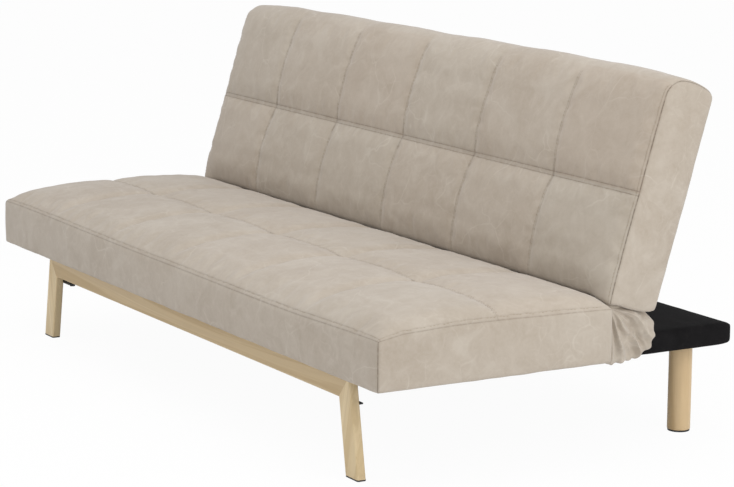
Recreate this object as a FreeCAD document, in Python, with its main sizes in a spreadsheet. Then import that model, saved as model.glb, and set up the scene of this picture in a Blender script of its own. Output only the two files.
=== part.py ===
import FreeCAD, Part
import Sketcher
import math
import os
import re
from FreeCAD import Placement, Rotation, Vector

# Click clack sofa bed: a padded seat on a timber frame that runs on behind it as a low
# black covered shelf, a padded back on two ratchet hinges, a splayed front leg frame
# of flat tube and two round rear legs.
# Millimetres. X runs along the sofa, Y from front to back, Z up. The floor is Z = 0 and
# the origin is under the middle of the whole depth and width.

doc = FreeCAD.newDocument("click_clack_sofa_bed")

driving_sizes = {
    # seat cushion
    "seat_width": 1800,
    "seat_front": -451,
    "seat_depth": 543,
    "seat_bottom": 211,
    "seat_front_bulge": 5,
    "seat_front_seam": 311,
    "seat_end_seam": 326,
    "seat_rear_end_seam": 320,
    "seat_rear_seam": 333,
    "seat_crown": 360,
    "seat_channel": 6,
    "seat_front_round": 22,
    "seat_front_shoulder": 60,
    "seat_front_crest": 165,
    "seat_rear_crest": 375,
    "seat_crest_lift": 1,
    "seat_rear_shoulder": 75,
    "seat_rear_round": 30,
    "seat_recess_front": 38,
    "seat_recess_half": 821,
    "seat_recess_top": 241.5,
    # back cushion, measured square to its own front face
    "back_width": 1776,
    "back_foot_setback": 546,
    "back_foot_height": 335,
    "back_length": 455,
    "back_thick": 116,
    "back_tilt": 17,
    "back_crown": 26,
    "back_seam_crown": 20,
    "back_channel": 5,
    "back_mid_seam": 219,
    "back_top_bulge": 20,
    "back_foot_bulge": 8,
    "back_corner": 20,
    "back_end_crown": 4,
    "back_end_waist": 2,
    "back_recess_half": 824,
    "back_recess_depth": 74,
    "back_recess_low": 20,
    "back_recess_high": 439,
    "back_slot_inner": 804,
    "back_slot_length": 80,
    "back_skin": 4,
    "cut_overrun": 5,
    "column_width": 300,
    # timber frame under the seat and the shelf
    "rail_bottom": 197,
    "rail_height": 36,
    "rail_thick": 25,
    "frame_half": 803,
    "front_rail_setback": 64,
    "seat_rear_rail_setback": 515,
    "middle_rail_centre": 275,
    "shelf_rail_setback": 815,
    "shelf_rear_setback": 905,
    "shelf_corner": 8,
    "slat_width": 60,
    "slat_thick": 8,
    "slat_pitch": 280,
    "back_slat_pitch": 364,
    "arris": 2,
    # shelf boards and cloth
    "board_front_setback": 547,
    "top_board_thick": 4,
    "bottom_board_thick": 3.5,
    "bottom_board_half": 795,
    "bottom_board_front": 560,
    "bottom_board_rear": 872,
    "cloth_thick": 2,
    "cloth_edge": 5,
    "cover_hole_depth": 20,
    "flap_front": 425,
    "dust_cloth_thick": 1.5,
    # front leg frame
    "leg_foot_outer": 759.4,
    "leg_splay": 10.23,
    "leg_width": 49,
    "tube_depth": 20,
    "tube_wall": 1.5,
    "tube_edge": 4,
    "tube_overrun": 20,
    "beam_bottom": 155,
    "beam_setback": 41,
    "glide_thick": 3,
    "glide_plug": 22,
    "plug_gap": 0.3,
    # leg brackets
    "bracket_inner": 656,
    "bracket_outer": 702,
    "bracket_thick": 3,
    "bracket_foot_bottom": 139,
    "bracket_foot_depth": 25,
    "bracket_top": 230,
    "bracket_foot_bolt": 666,
    "beam_bolt_height": 180,
    "rail_screw_height": 216,
    "screw_inset": 8,
    "small_bolt": 3,
    "foot_bolt": 4,
    "foot_bolt_knob": 5,
    "foot_bolt_length": 25,
    "nut_height": 6,
    "bolt_grip": 5,
    # round rear legs
    "rear_leg_centre": 736,
    "rear_leg_setback": 840,
    "rear_leg_radius": 24.5,
    "rear_cap_thick": 3.5,
    "rear_cap_radius": 23.5,
    "hanger_bolt": 4,
    "hanger_depth": 45,
    "hanger_short": 6,
    # hinges
    "flat_gap": 26,
    "shelf_clearance": 2,
    "hinge_inner": 805,
    "plate_thick": 5,
    "plate_gap": 0.6,
    "eye_radius": 20,
    "pin_radius": 6,
    "pin_clearance": 0.06,
    "pin_head": 10,
    "head_thick": 3,
    "seat_arm_front": 420,
    "seat_arm_bottom": 201,
    "seat_arm_height": 28,
    "seat_arm_toe": 4,
    "arm_bolt": 4,
    "hole_clearance": 0.2,
    "seat_bolt_setback": 445,
    "seat_bolt_pitch": 60,
    "back_arm_end": 185,
    "crank_front": 82,
    "crank_rear": 52,
    "crank_neck": 17.6,
    "crank_rise": 7,
    "back_rail_front": 84,
    "back_rail_thick": 30,
    "back_bottom_rail_low": 28,
    "back_top_rail_low": 405,
    "back_rail_height": 30,
    "back_bolt_height": 95,
    "back_bolt_pitch": 65,
    # ratchet pawls
    "pawl_pin_back": 16,
    "pawl_pin_drop": 36,
    "pawl_hub": 7,
    "pawl_pin": 3,
    "pawl_ear": 10,
    "pawl_lift": 15,
    "tooth_depth": 3.6,
    "notch_angle": 10,
    "over_travel": 11,
    "tip_direction": -80,
    "tooth_clearance": 0.4,
    "notch_flare": 2,
    "pawl_back_run": 1.5,
    "pawl_back_drop": 7,
    "spring_width": 4,
    "spring_rise": 1,
    "spring_foot": 4,
    "spring_drop": 13,
    "spring_front": 8,
    "spring_rear": 26,
    # gathered hinge covers
    "ruffle_inner": 826,
    "ruffle_outer": 893,
    "panel_inset": 1,
}
front_to_back_slats = 6
back_slats = 4
ratchet_positions = 4
columns = 6


def open_sheet():
    table = doc.addObject("Spreadsheet::Sheet", "Sizes")
    for row, (name, value) in enumerate(driving_sizes.items(), start=1):
        table.set(f"A{row}", name)
        table.set(f"B{row}", str(value))
        table.setAlias(f"B{row}", name)
    doc.recompute()
    return table


sheet = open_sheet()


def size(name):
    return float(sheet.get(name))


def add_size(name, value):
    row = len(driving_sizes) + 1
    driving_sizes[name] = value
    sheet.set(f"A{row}", name)
    sheet.set(f"B{row}", f"{value:.4f}")
    sheet.setAlias(f"B{row}", name)


def add_pivot():
    """The one axis that carries the back from its leaning place to lying flat."""
    turn = math.radians(90 - size("back_tilt"))
    c, s = math.cos(turn), math.sin(turn)
    foot_y = size("back_foot_setback")
    foot_z = size("back_foot_height")
    shelf_top = size("rail_bottom") + size("rail_height") + size("top_board_thick") + size("cloth_thick")
    flat_y = size("seat_depth") + size("flat_gap")
    flat_z = shelf_top + size("shelf_clearance") + size("back_thick")
    move_y = flat_y - (c * foot_y + s * foot_z)
    move_z = flat_z - (c * foot_z - s * foot_y)
    pivot_y = ((1 - c) * move_y + s * move_z) / (2 - 2 * c)
    pivot_z = ((1 - c) * move_z - s * move_y) / (2 - 2 * c)
    add_size("pivot_setback", pivot_y)
    add_size("pivot_height", pivot_z)
    add_size("pivot_depth", flat_z - pivot_z)
    add_size("pivot_rise", pivot_y - flat_y)
    doc.recompute()
    place = (round(size("seat_front") + pivot_y, 2), round(pivot_z, 2))
    print("pivot at y, z", place, "turn", 90 - size("back_tilt"))


add_pivot()
sub_parts = []
sides = (("left", -1), ("right", 1))


def formula(text):
    def named(word):
        return "Sizes." + word[0] if word[0] in driving_sizes else word[0]

    return re.sub(r"[a-z_]+[a-z]", named, str(text))


def bind(item, prop, text):
    item.setExpression(prop, formula(text))


def keep(item, label):
    item.Label = label
    sub_parts.append(item)
    return item


def lean(item):
    item.Placement = Placement(Vector(0, 0, 0), Rotation(Vector(-1, 0, 0), size("back_tilt")))
    bind(item, "Placement.Base.y", "seat_front + back_foot_setback")
    bind(item, "Placement.Base.z", "back_foot_height")
    return item


def side_span(sign, inner, outer):
    if sign > 0:
        return (inner, outer)
    return (f"-({outer})", f"-({inner})")


def behind(text):
    return f"seat_front + {text}"


def block(label, x, y, z):
    solid = doc.addObject("Part::Box", label)
    for prop, axis, (low, high) in (("Length", "x", x), ("Width", "y", y), ("Height", "z", z)):
        bind(solid, prop, f"({high}) - ({low})")
        bind(solid, f"Placement.Base.{axis}", low)
    return solid


rod_turns = {
    "x": Rotation(Vector(0, 1, 0), 90),
    "y": Rotation(Vector(1, 0, 0), -90),
    "z": Rotation(),
}


def rod(label, radius, length, x, y, z, axis="z"):
    solid = doc.addObject("Part::Cylinder", label)
    solid.Placement = Placement(Vector(0, 0, 0), rod_turns[axis])
    bind(solid, "Radius", radius)
    bind(solid, "Height", length)
    for name, text in (("x", x), ("y", y), ("z", z)):
        bind(solid, f"Placement.Base.{name}", text)
    return solid


def hexagon(label, radius, length, x, y, z, axis="z"):
    solid = doc.addObject("Part::Prism", label)
    solid.Polygon = 6
    solid.Placement = Placement(Vector(0, 0, 0), rod_turns[axis])
    bind(solid, "Circumradius", radius)
    bind(solid, "Height", length)
    for name, text in (("x", x), ("y", y), ("z", z)):
        bind(solid, f"Placement.Base.{name}", text)
    return solid


def join(label, solids):
    whole = doc.addObject("Part::MultiFuse", label)
    whole.Shapes = solids
    whole.Refine = True
    return whole


def cut(label, base, tools):
    result = doc.addObject("Part::Cut", label)
    result.Base = base
    result.Tool = tools[0] if len(tools) == 1 else join(label + "_cutters", tools)
    return result


def group(label, solids):
    whole = doc.addObject("Part::Compound", label)
    whole.Links = solids
    return whole


def runs_along(edge, axis):
    if edge.Curve.TypeId != "Part::GeomLine":
        return False
    direction = edge.lastVertex().Point - edge.firstVertex().Point
    return direction.getAngle(axis) < 1e-6 or direction.getAngle(-axis) < 1e-6


def rounded(label, base, radius, wanted):
    doc.recompute()
    chosen = [n for n, edge in enumerate(base.Shape.Edges, start=1) if wanted(edge)]
    result = doc.addObject("Part::Fillet", label)
    result.Base = base
    result.Edges = [(n, size(radius), size(radius)) for n in chosen]
    return result


def timber(label, x, y, z, axis):
    blank = block(label + "_blank", x, y, z)
    return rounded(label + "_planed", blank, "arris", lambda edge: runs_along(edge, axis))


along_x = Vector(1, 0, 0)
along_y = Vector(0, 1, 0)
along_z = Vector(0, 0, 1)


def plane_of(body, role):
    return next(plane for plane in body.Origin.OriginFeatures if plane.Role == role)


def outline(body, label, role, points):
    """A closed run of straight lines whose corners are set from the sheet."""
    sketch = body.newObject("Sketcher::SketchObject", label)
    sketch.AttachmentSupport = [(plane_of(body, role), "")]
    sketch.MapMode = "FlatFace"
    count = len(points)
    for n in range(count):
        start = Vector(10 * math.cos(n), 10 * math.sin(n), 0)
        end = Vector(10 * math.cos(n + 1), 10 * math.sin(n + 1), 0)
        sketch.addGeometry(Part.LineSegment(start, end), False)
    for n in range(count):
        sketch.addConstraint(Sketcher.Constraint("Coincident", n, 2, (n + 1) % count, 1))
    for n, (across, up) in enumerate(points):
        for kind, text in (("DistanceX", across), ("DistanceY", up)):
            index = sketch.addConstraint(Sketcher.Constraint(kind, -1, 1, n, 1, 10.0))
            sketch.setExpression(f"Constraints[{index}]", formula(text))
    return sketch


def pad(body, sketch, length, middle=False):
    feature = body.newObject("PartDesign::Pad", sketch.Label + "_pad")
    feature.Profile = sketch
    feature.Midplane = middle
    bind(feature, "Length", length)
    sketch.Visibility = False
    return feature


# Timber frame: rails under the seat that run on behind it and carry the shelf
rail_z = ("rail_bottom", "rail_bottom + rail_height")


def build_front_rail():
    y = (behind("front_rail_setback"), behind("front_rail_setback + rail_thick"))
    rail = timber("seat_front_rail", ("-frame_half", "frame_half"), y, rail_z, along_x)
    screws = [
        rod(f"front_rail_pilot_{n}", "small_bolt", "rail_thick", x, y[0], "rail_screw_height", "y")
        for n, x in enumerate(rail_screw_places())
    ]
    keep(cut("front_rail", rail, screws), "seat_front_rail")


def rail_screw_places():
    inner = "bracket_inner + screw_inset"
    outer = "bracket_outer - screw_inset"
    return [f"-({outer})", f"-({inner})", inner, outer]


def build_side_rails():
    y = (behind("front_rail_setback + rail_thick"), behind("shelf_rail_setback"))
    for side, sign in sides:
        x = side_span(sign, "frame_half - rail_thick", "frame_half")
        rail = timber(f"side_rail_{side}", x, y, rail_z, along_y)
        wide = "arm_bolt + hole_clearance"
        holes = [
            rod(f"side_rail_{side}_hole_{n}", wide, "rail_thick", x[0], place, seat_bolt_z, "x")
            for n, place in enumerate(seat_bolt_places())
        ]
        keep(cut(f"side_rail_{side}", rail, holes), f"seat_side_rail_{side}")


seat_bolt_z = "seat_arm_bottom + seat_arm_height / 2"


def seat_bolt_places():
    return [behind("seat_bolt_setback"), behind("seat_bolt_setback + seat_bolt_pitch")]


def build_cross_rails():
    inner = "frame_half - rail_thick"
    y = (behind("seat_rear_rail_setback"), behind("seat_rear_rail_setback + rail_thick"))
    keep(timber("rear_rail", (f"-({inner})", inner), y, rail_z, along_x), "seat_rear_rail")
    for side, sign in sides:
        x = side_span(sign, "middle_rail_centre - rail_thick / 2", "middle_rail_centre + rail_thick / 2")
        front = (behind("front_rail_setback + rail_thick"), behind("seat_rear_rail_setback"))
        back = (behind("seat_rear_rail_setback + rail_thick"), behind("shelf_rail_setback"))
        keep(timber(f"seat_rail_{side}", x, front, rail_z, along_y), f"seat_middle_rail_{side}")
        keep(timber(f"shelf_rail_{side}", x, back, rail_z, along_y), f"shelf_middle_rail_{side}")


def is_rear_corner(edge):
    middle = size("seat_front") + (size("shelf_rail_setback") + size("shelf_rear_setback")) / 2
    return runs_along(edge, along_z) and edge.firstVertex().Point.y > middle


def build_shelf_rear_rail():
    y = (behind("shelf_rail_setback"), behind("shelf_rear_setback"))
    blank = block("shelf_rail_blank", ("-frame_half", "frame_half"), y, rail_z)
    shaped = rounded("shelf_rail_shaped", blank, "shelf_corner", is_rear_corner)
    holes = [
        rod(f"shelf_rail_hole_{side}", "hanger_bolt", "rail_height", leg_x(sign), leg_y, "rail_bottom")
        for side, sign in sides
    ]
    keep(cut("shelf_rail", shaped, holes), "shelf_rear_rail")


leg_y = behind("rear_leg_setback")


def leg_x(sign):
    return "rear_leg_centre" if sign > 0 else "-rear_leg_centre"


def build_shelf_boards():
    y = (behind("board_front_setback"), behind("shelf_rear_setback"))
    z = ("rail_bottom + rail_height", "rail_bottom + rail_height + top_board_thick")
    top = block("top_board_blank", ("-frame_half", "frame_half"), y, z)
    keep(rounded("top_board", top, "shelf_corner", is_rear_corner), "shelf_top_board")
    y = (behind("bottom_board_front"), behind("bottom_board_rear"))
    z = ("rail_bottom - bottom_board_thick", "rail_bottom")
    bottom = block("bottom_board_blank", ("-bottom_board_half", "bottom_board_half"), y, z)
    wide = "hanger_bolt + hole_clearance"
    holes = [
        rod(f"bottom_board_hole_{side}", wide, "bottom_board_thick", leg_x(sign), leg_y, z[0])
        for side, sign in sides
    ]
    keep(cut("bottom_board", bottom, holes), "shelf_bottom_board")


def build_shelf_cover():
    """Black cloth drawn round the shelf: a sleeve open at the front, with a flap along each side rail."""
    half = "frame_half + cloth_thick"
    y = (behind("board_front_setback - cloth_thick"), behind("shelf_rear_setback + cloth_thick"))
    z = ("rail_bottom - cloth_thick", "rail_bottom + rail_height + top_board_thick + cloth_thick")
    outer = block("cover_outer", (f"-({half})", half), y, z)
    cornered = rounded("cover_cornered", outer, "shelf_corner", is_rear_corner)

    def is_long_edge(edge):
        low = edge.BoundBox
        rear = size("seat_front") + size("shelf_rear_setback") - size("shelf_corner") / 2
        flat = low.ZLength < 1e-6
        return flat and (low.YMax > rear or runs_along(edge, along_y))

    softened = rounded("cover_softened", cornered, "cloth_edge", is_long_edge)
    lip_half = "bottom_board_half + cloth_thick"
    lip = block(
        "cover_lip",
        (f"-({lip_half})", lip_half),
        (behind("bottom_board_front"), behind("bottom_board_rear + cloth_thick")),
        ("rail_bottom - bottom_board_thick - cloth_thick", "rail_bottom"),
    )
    flaps = [
        block(
            f"cover_flap_{side}",
            side_span(sign, "frame_half", half),
            (behind("flap_front"), behind("board_front_setback")),
            rail_z,
        )
        for side, sign in sides
    ]
    y_inside = (behind("board_front_setback - cloth_thick"), behind("shelf_rear_setback"))
    z_inside = ("rail_bottom", "rail_bottom + rail_height + top_board_thick")
    room = block("cover_room", ("-frame_half", "frame_half"), y_inside, z_inside)
    room = rounded("cover_room_cornered", room, "shelf_corner", is_rear_corner)
    lip_room = block(
        "cover_lip_room",
        ("-bottom_board_half", "bottom_board_half"),
        (behind("bottom_board_front"), behind("bottom_board_rear")),
        ("rail_bottom - bottom_board_thick", "rail_bottom"),
    )
    wide = "hanger_bolt + hole_clearance"
    low = "rail_bottom - cover_hole_depth * 3 / 4"
    holes = [
        rod(f"cover_leg_hole_{side}", wide, "cover_hole_depth", leg_x(sign), leg_y, low)
        for side, sign in sides
    ]
    wide = "arm_bolt + hole_clearance"
    for side, sign in sides:
        x = side_span(sign, "frame_half", half)
        for n, place in enumerate(seat_bolt_places()):
            holes.append(rod(f"cover_{side}_hole_{n}", wide, "cloth_thick", x[0], place, seat_bolt_z, "x"))
    whole = join("cover_whole", [softened, lip] + flaps)
    keep(cut("cover", whole, [room, lip_room] + holes), "shelf_cover")


def build_dust_cloth():
    y = (behind("front_rail_setback"), behind("board_front_setback - cloth_thick"))
    z = ("rail_bottom - dust_cloth_thick", "rail_bottom")
    keep(block("dust_cloth", ("-frame_half", "frame_half"), y, z), "seat_dust_cloth")


def build_seat_slats():
    y = (behind("front_rail_setback + arris"), behind("seat_rear_rail_setback + rail_thick - arris"))
    z = ("rail_bottom + rail_height", "rail_bottom + rail_height + slat_thick")
    for n in range(front_to_back_slats):
        centre = f"slat_pitch * {n - (front_to_back_slats - 1) / 2}"
        x = (f"{centre} - slat_width / 2", f"{centre} + slat_width / 2")
        keep(timber(f"slat_{n + 1}", x, y, z, along_y), f"seat_slat_{n + 1}")


# Padded seat and back: sections of lines and arcs lofted from seam to seam, one loft a column
def arc(start, middle, end):
    return Part.Arc(start, middle, end).toShape()


def line(start, end):
    return Part.makeLine(start, end)


def end_fade(x, half, power=8):
    """1 over most of the width, falling to 0 at the two ends."""
    return math.sqrt(max(0.0, 1 - abs(x / half) ** power))


def column_stations(half):
    """Evenly spaced places along X for each column, the outer columns split where the ends round over."""
    pitch = size("column_width")
    seams = [(n - columns / 2) * pitch for n in range(columns + 1)]
    shoulder = half - pitch / 4
    stops = [-half, -shoulder] + seams[1:-1] + [shoulder, half]
    stations = []
    for low, high in zip(stops, stops[1:]):
        stations.append([low + (high - low) * n / 4 for n in range(5)])
    return stations


def seam_pull(x, depth):
    """How far the stitching of a cross seam draws the padding in at x."""
    pitch = size("column_width")
    off = abs(x / pitch - round(x / pitch))
    if abs(x) > pitch * (columns / 2 - 0.5):
        return 0.0
    return depth * max(0.0, 1 - off / 0.5) ** 3


def lofted_columns(section, half):
    solids = []
    for places in column_stations(half):
        solids.append(Part.makeLoft([section(x) for x in places], True, False))
    whole = solids[0].fuse(solids[1:])
    return whole.removeSplitter()


def seat_section(x):
    half = size("seat_width") / 2
    front, depth, bottom = size("seat_front"), size("seat_depth"), size("seat_bottom")
    fade = end_fade(x, half)
    pull = seam_pull(x, size("seat_channel"))
    end_z = size("seat_end_seam")
    top = end_z + (size("seat_crown") - end_z) * fade - pull

    def at(setback, z):
        return Vector(x, front + setback, z)

    def between(share):
        return end_z + (top - end_z) * share

    front_z = size("seat_front_seam")
    rear_end = size("seat_rear_end_seam")
    rear_z = rear_end + (size("seat_rear_seam") - rear_end) * fade
    low_front = at(0, bottom)
    seam_front = at(0, front_z)
    front_shoulder = at(size("seat_front_shoulder"), between(0.65))
    channel = at(depth / 2, top - size("seat_channel") * fade * 0.8)
    rear_shoulder = at(depth - size("seat_rear_shoulder"), between(0.65))
    seam_rear = at(depth, rear_z)
    low_rear = at(depth, bottom)
    crest = top + size("seat_crest_lift")
    front_round = front_z + (front_shoulder.z - front_z) * 0.6
    rear_round = rear_z + (rear_shoulder.z - rear_z) * 0.6
    edges = [
        arc(low_front, at(-size("seat_front_bulge"), (bottom + front_z) / 2), seam_front),
        arc(seam_front, at(size("seat_front_round"), front_round), front_shoulder),
        arc(front_shoulder, at(size("seat_front_crest"), crest), channel),
        arc(channel, at(size("seat_rear_crest"), crest), rear_shoulder),
        arc(rear_shoulder, at(depth - size("seat_rear_round"), rear_round), seam_rear),
        line(seam_rear, low_rear),
        line(low_rear, low_front),
    ]
    return Part.Wire(edges)


def solid_box(x, y, z):
    return Part.makeBox(x[1] - x[0], y[1] - y[0], z[1] - z[0], Vector(x[0], y[0], z[0]))


def shape_part(label, shape):
    feature = doc.addObject("Part::Feature", label)
    feature.Shape = shape
    feature.Placement = Placement()
    return feature


def build_seat_cushion():
    """Foam and cover as one padded form that drops over the slats and rails like a lid."""
    half = size("seat_width") / 2
    front = size("seat_front")
    padding = lofted_columns(seat_section, half)
    recess_half = size("seat_recess_half")
    recess = solid_box(
        (-recess_half, recess_half),
        (front + size("seat_recess_front"), front + size("seat_depth") + size("cut_overrun")),
        (size("seat_bottom") - size("cut_overrun"), size("seat_recess_top")),
    )
    keep(shape_part("seat_cushion", padding.cut(recess)), "seat_cushion")


def back_section(x):
    """Seen along the sofa: Y is the depth behind the front face, Z the height up it."""
    half = size("back_width") / 2
    length, thick = size("back_length"), size("back_thick")
    fade = end_fade(x, half)
    pull = seam_pull(x, size("back_channel"))
    end_crown, end_waist = size("back_end_crown"), size("back_end_waist")
    crown = end_crown + (size("back_crown") - end_crown) * fade - pull
    waist = end_waist + (size("back_seam_crown") - end_waist) * fade - pull
    mid = size("back_mid_seam")
    top = size("back_top_bulge") * (0.4 + 0.6 * fade)
    foot = size("back_foot_bulge")
    corner = size("back_corner")
    inset = corner * (1 - math.sqrt(0.5))

    def at(depth, height):
        return Vector(x, depth, height)

    edges = [
        arc(at(0, 0), at(-crown, mid * 0.5), at(-waist, mid)),
        arc(at(-waist, mid), at(-crown, mid + (length - mid) * 0.45), at(0, length)),
        arc(at(0, length), at(thick * 0.45, length + top), at(thick - corner, length)),
        arc(at(thick - corner, length), at(thick - inset, length - inset), at(thick, length - corner)),
        line(at(thick, length - corner), at(thick, corner)),
        arc(at(thick, corner), at(thick - inset, inset), at(thick - corner, 0)),
        arc(at(thick - corner, 0), at(thick * 0.45, -foot), at(0, 0)),
    ]
    return Part.Wire(edges)


def build_back_cushion():
    half = size("back_width") / 2
    thick = size("back_thick")
    padding = lofted_columns(back_section, half)
    recess_half = size("back_recess_half")
    behind_it = thick + size("cut_overrun")
    below_it = -size("back_foot_bulge") - size("cut_overrun")
    recess = solid_box(
        (-recess_half, recess_half),
        (size("back_recess_depth"), behind_it),
        (size("back_recess_low"), size("back_recess_high")),
    )
    slots = []
    for side, sign in sides:
        low, high = sorted((sign * size("back_slot_inner"), sign * recess_half))
        slot_height = (below_it, size("back_slot_length"))
        slots.append(solid_box((low, high), (size("back_skin"), behind_it), slot_height))
    hollowed = padding.cut(Part.makeCompound([recess] + slots))
    keep(lean(shape_part("back_cushion", hollowed)), "back_cushion")


# Front leg frame: flat tube, mitred where the beam meets each splayed leg
def leg_outer(z):
    return f"(leg_foot_outer - ({z}) * tan(leg_splay))"


def leg_inner(z):
    return f"(leg_foot_outer - ({z}) * tan(leg_splay) - leg_width)"


beam_top = "beam_bottom + leg_width"


def tube(label, outer, inner, wanted):
    """A tube in the XZ plane: outer and inner are its outlines, the inner one run past both ends."""
    body = doc.addObject("PartDesign::Body", label)
    outer_sketch = outline(body, label + "_outside", "XZ_Plane", outer)
    outside = pad(body, outer_sketch, "tube_depth", True)
    doc.recompute()
    names = [f"Edge{n}" for n, edge in enumerate(outside.Shape.Edges, start=1) if wanted(edge)]
    softened = body.newObject("PartDesign::Fillet", label + "_softened")
    softened.Base = (outside, names)
    bind(softened, "Radius", "tube_edge")
    inner_sketch = outline(body, label + "_inside", "XZ_Plane", inner)
    bore = body.newObject("PartDesign::Pocket", label + "_bore")
    bore.Profile = inner_sketch
    bore.Midplane = True
    bind(bore, "Length", "tube_depth - 2 * tube_wall")
    body.Tip = bore
    bind(body, "Placement.Base.y", "seat_front + beam_setback + tube_depth / 2")
    return body


def build_leg_frame():
    wall = "tube_wall"
    outer = [
        (f"-{leg_inner('beam_bottom')}", "beam_bottom"),
        (leg_inner("beam_bottom"), "beam_bottom"),
        (leg_outer(beam_top), beam_top),
        (f"-{leg_outer(beam_top)}", beam_top),
    ]
    low, high = f"beam_bottom + {wall}", f"{beam_top} - {wall}"
    beyond = "leg_foot_outer + tube_overrun"
    inner = [(f"-({beyond})", low), (beyond, low), (beyond, high), (f"-({beyond})", high)]
    beam = tube("leg_beam", outer, inner, lambda edge: runs_along(edge, along_x))
    y = behind("beam_setback + tube_depth - tube_wall * 2")
    holes = [
        rod(f"beam_hole_{n}", "small_bolt", "tube_wall * 3", x, y, "beam_bolt_height", "y")
        for n, x in enumerate(rail_screw_places()[1:3])
    ]
    keep(cut("beam", beam, holes), "front_leg_beam")
    for side, sign in sides:
        flip = "" if sign > 0 else "-"
        side_wall = "tube_wall / cos(leg_splay)"
        outer = [
            (f"{flip}{leg_outer('glide_thick')}", "glide_thick"),
            (f"{flip}{leg_outer(beam_top)}", beam_top),
            (f"{flip}{leg_inner('beam_bottom')}", "beam_bottom"),
            (f"{flip}{leg_inner('glide_thick')}", "glide_thick"),
        ]
        above, below = f"{beam_top} + tube_overrun", "0 - tube_overrun"
        inner = [
            (f"{flip}({leg_outer(below)} - {side_wall})", below),
            (f"{flip}({leg_outer(above)} - {side_wall})", above),
            (f"{flip}({leg_inner(above)} + {side_wall})", above),
            (f"{flip}({leg_inner(below)} + {side_wall})", below),
        ]
        slope = Vector(-sign * math.tan(math.radians(size("leg_splay"))), 0, 1)
        leg = tube(f"leg_{side}", outer, inner, lambda edge, slope=slope: runs_along(edge, slope))
        keep(leg, f"front_leg_{side}")


def build_front_glides():
    """Thin black foot under each leg with a plug that stands up inside the tube."""
    for side, sign in sides:
        x = side_span(sign, leg_inner("0"), leg_outer("0"))
        y = (behind("beam_setback"), behind("beam_setback + tube_depth"))
        foot = block(f"glide_{side}_blank", x, y, ("0", "glide_thick"))
        foot = rounded(f"glide_{side}_foot", foot, "tube_edge", lambda edge: runs_along(edge, along_z))
        gap = "tube_wall / cos(leg_splay) + plug_gap"
        flip = "" if sign > 0 else "-"
        plug = doc.addObject("PartDesign::Body", f"glide_{side}_plug")
        corners = [
            (f"{flip}({leg_outer('glide_thick')} - ({gap}))", "glide_thick"),
            (f"{flip}({leg_outer('glide_plug')} - ({gap}))", "glide_plug"),
            (f"{flip}({leg_inner('glide_plug')} + {gap})", "glide_plug"),
            (f"{flip}({leg_inner('glide_thick')} + {gap})", "glide_thick"),
        ]
        sketch = outline(plug, f"glide_{side}_outline", "XZ_Plane", corners)
        pad(plug, sketch, "tube_depth - 2 * tube_wall - 2 * plug_gap", True)
        bind(plug, "Placement.Base.y", "seat_front + beam_setback + tube_depth / 2")
        keep(join(f"glide_{side}", [foot, plug]), f"front_glide_{side}")


def build_leg_brackets():
    """Black steel angle behind each end of the beam: screwed to the rail above, bolted to the beam."""
    back_of_beam = "beam_setback + tube_depth"
    beam_places = rail_screw_places()
    for side, sign in sides:
        x = side_span(sign, "bracket_inner", "bracket_outer")
        y = (behind(back_of_beam), behind(f"{back_of_beam} + bracket_thick"))
        web = block(f"bracket_{side}_web", x, y, ("bracket_foot_bottom", "bracket_top"))
        foot_y = (y[0], behind(f"{back_of_beam} + bracket_foot_depth"))
        foot_z = ("bracket_foot_bottom", "bracket_foot_bottom + bracket_thick")
        foot = block(f"bracket_{side}_foot", x, foot_y, foot_z)
        places = beam_places[:2] if sign < 0 else beam_places[2:]
        near = places[1] if sign < 0 else places[0]
        wide, deep = "small_bolt + hole_clearance", "bracket_thick * 3"
        start = behind(f"{back_of_beam} - bracket_thick")
        holes = [
            rod(f"bracket_{side}_screw_hole_{n}", wide, deep, place, start, "rail_screw_height", "y")
            for n, place in enumerate(places)
        ]
        holes.append(rod(f"bracket_{side}_bolt_hole", wide, deep, near, start, "beam_bolt_height", "y"))
        wide, start = "foot_bolt + hole_clearance", "bracket_foot_bottom - bracket_thick"
        holes.append(rod(f"bracket_{side}_foot_hole", wide, deep, foot_bolt_x(sign), foot_bolt_y, start))
        plates = join(f"bracket_{side}_plates", [web, foot])
        keep(cut(f"bracket_{side}", plates, holes), f"leg_bracket_{side}")


foot_bolt_y = behind("beam_setback + tube_depth + (bracket_foot_depth + bracket_thick) / 2")


def foot_bolt_x(sign):
    return "bracket_foot_bolt" if sign > 0 else "-bracket_foot_bolt"


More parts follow.
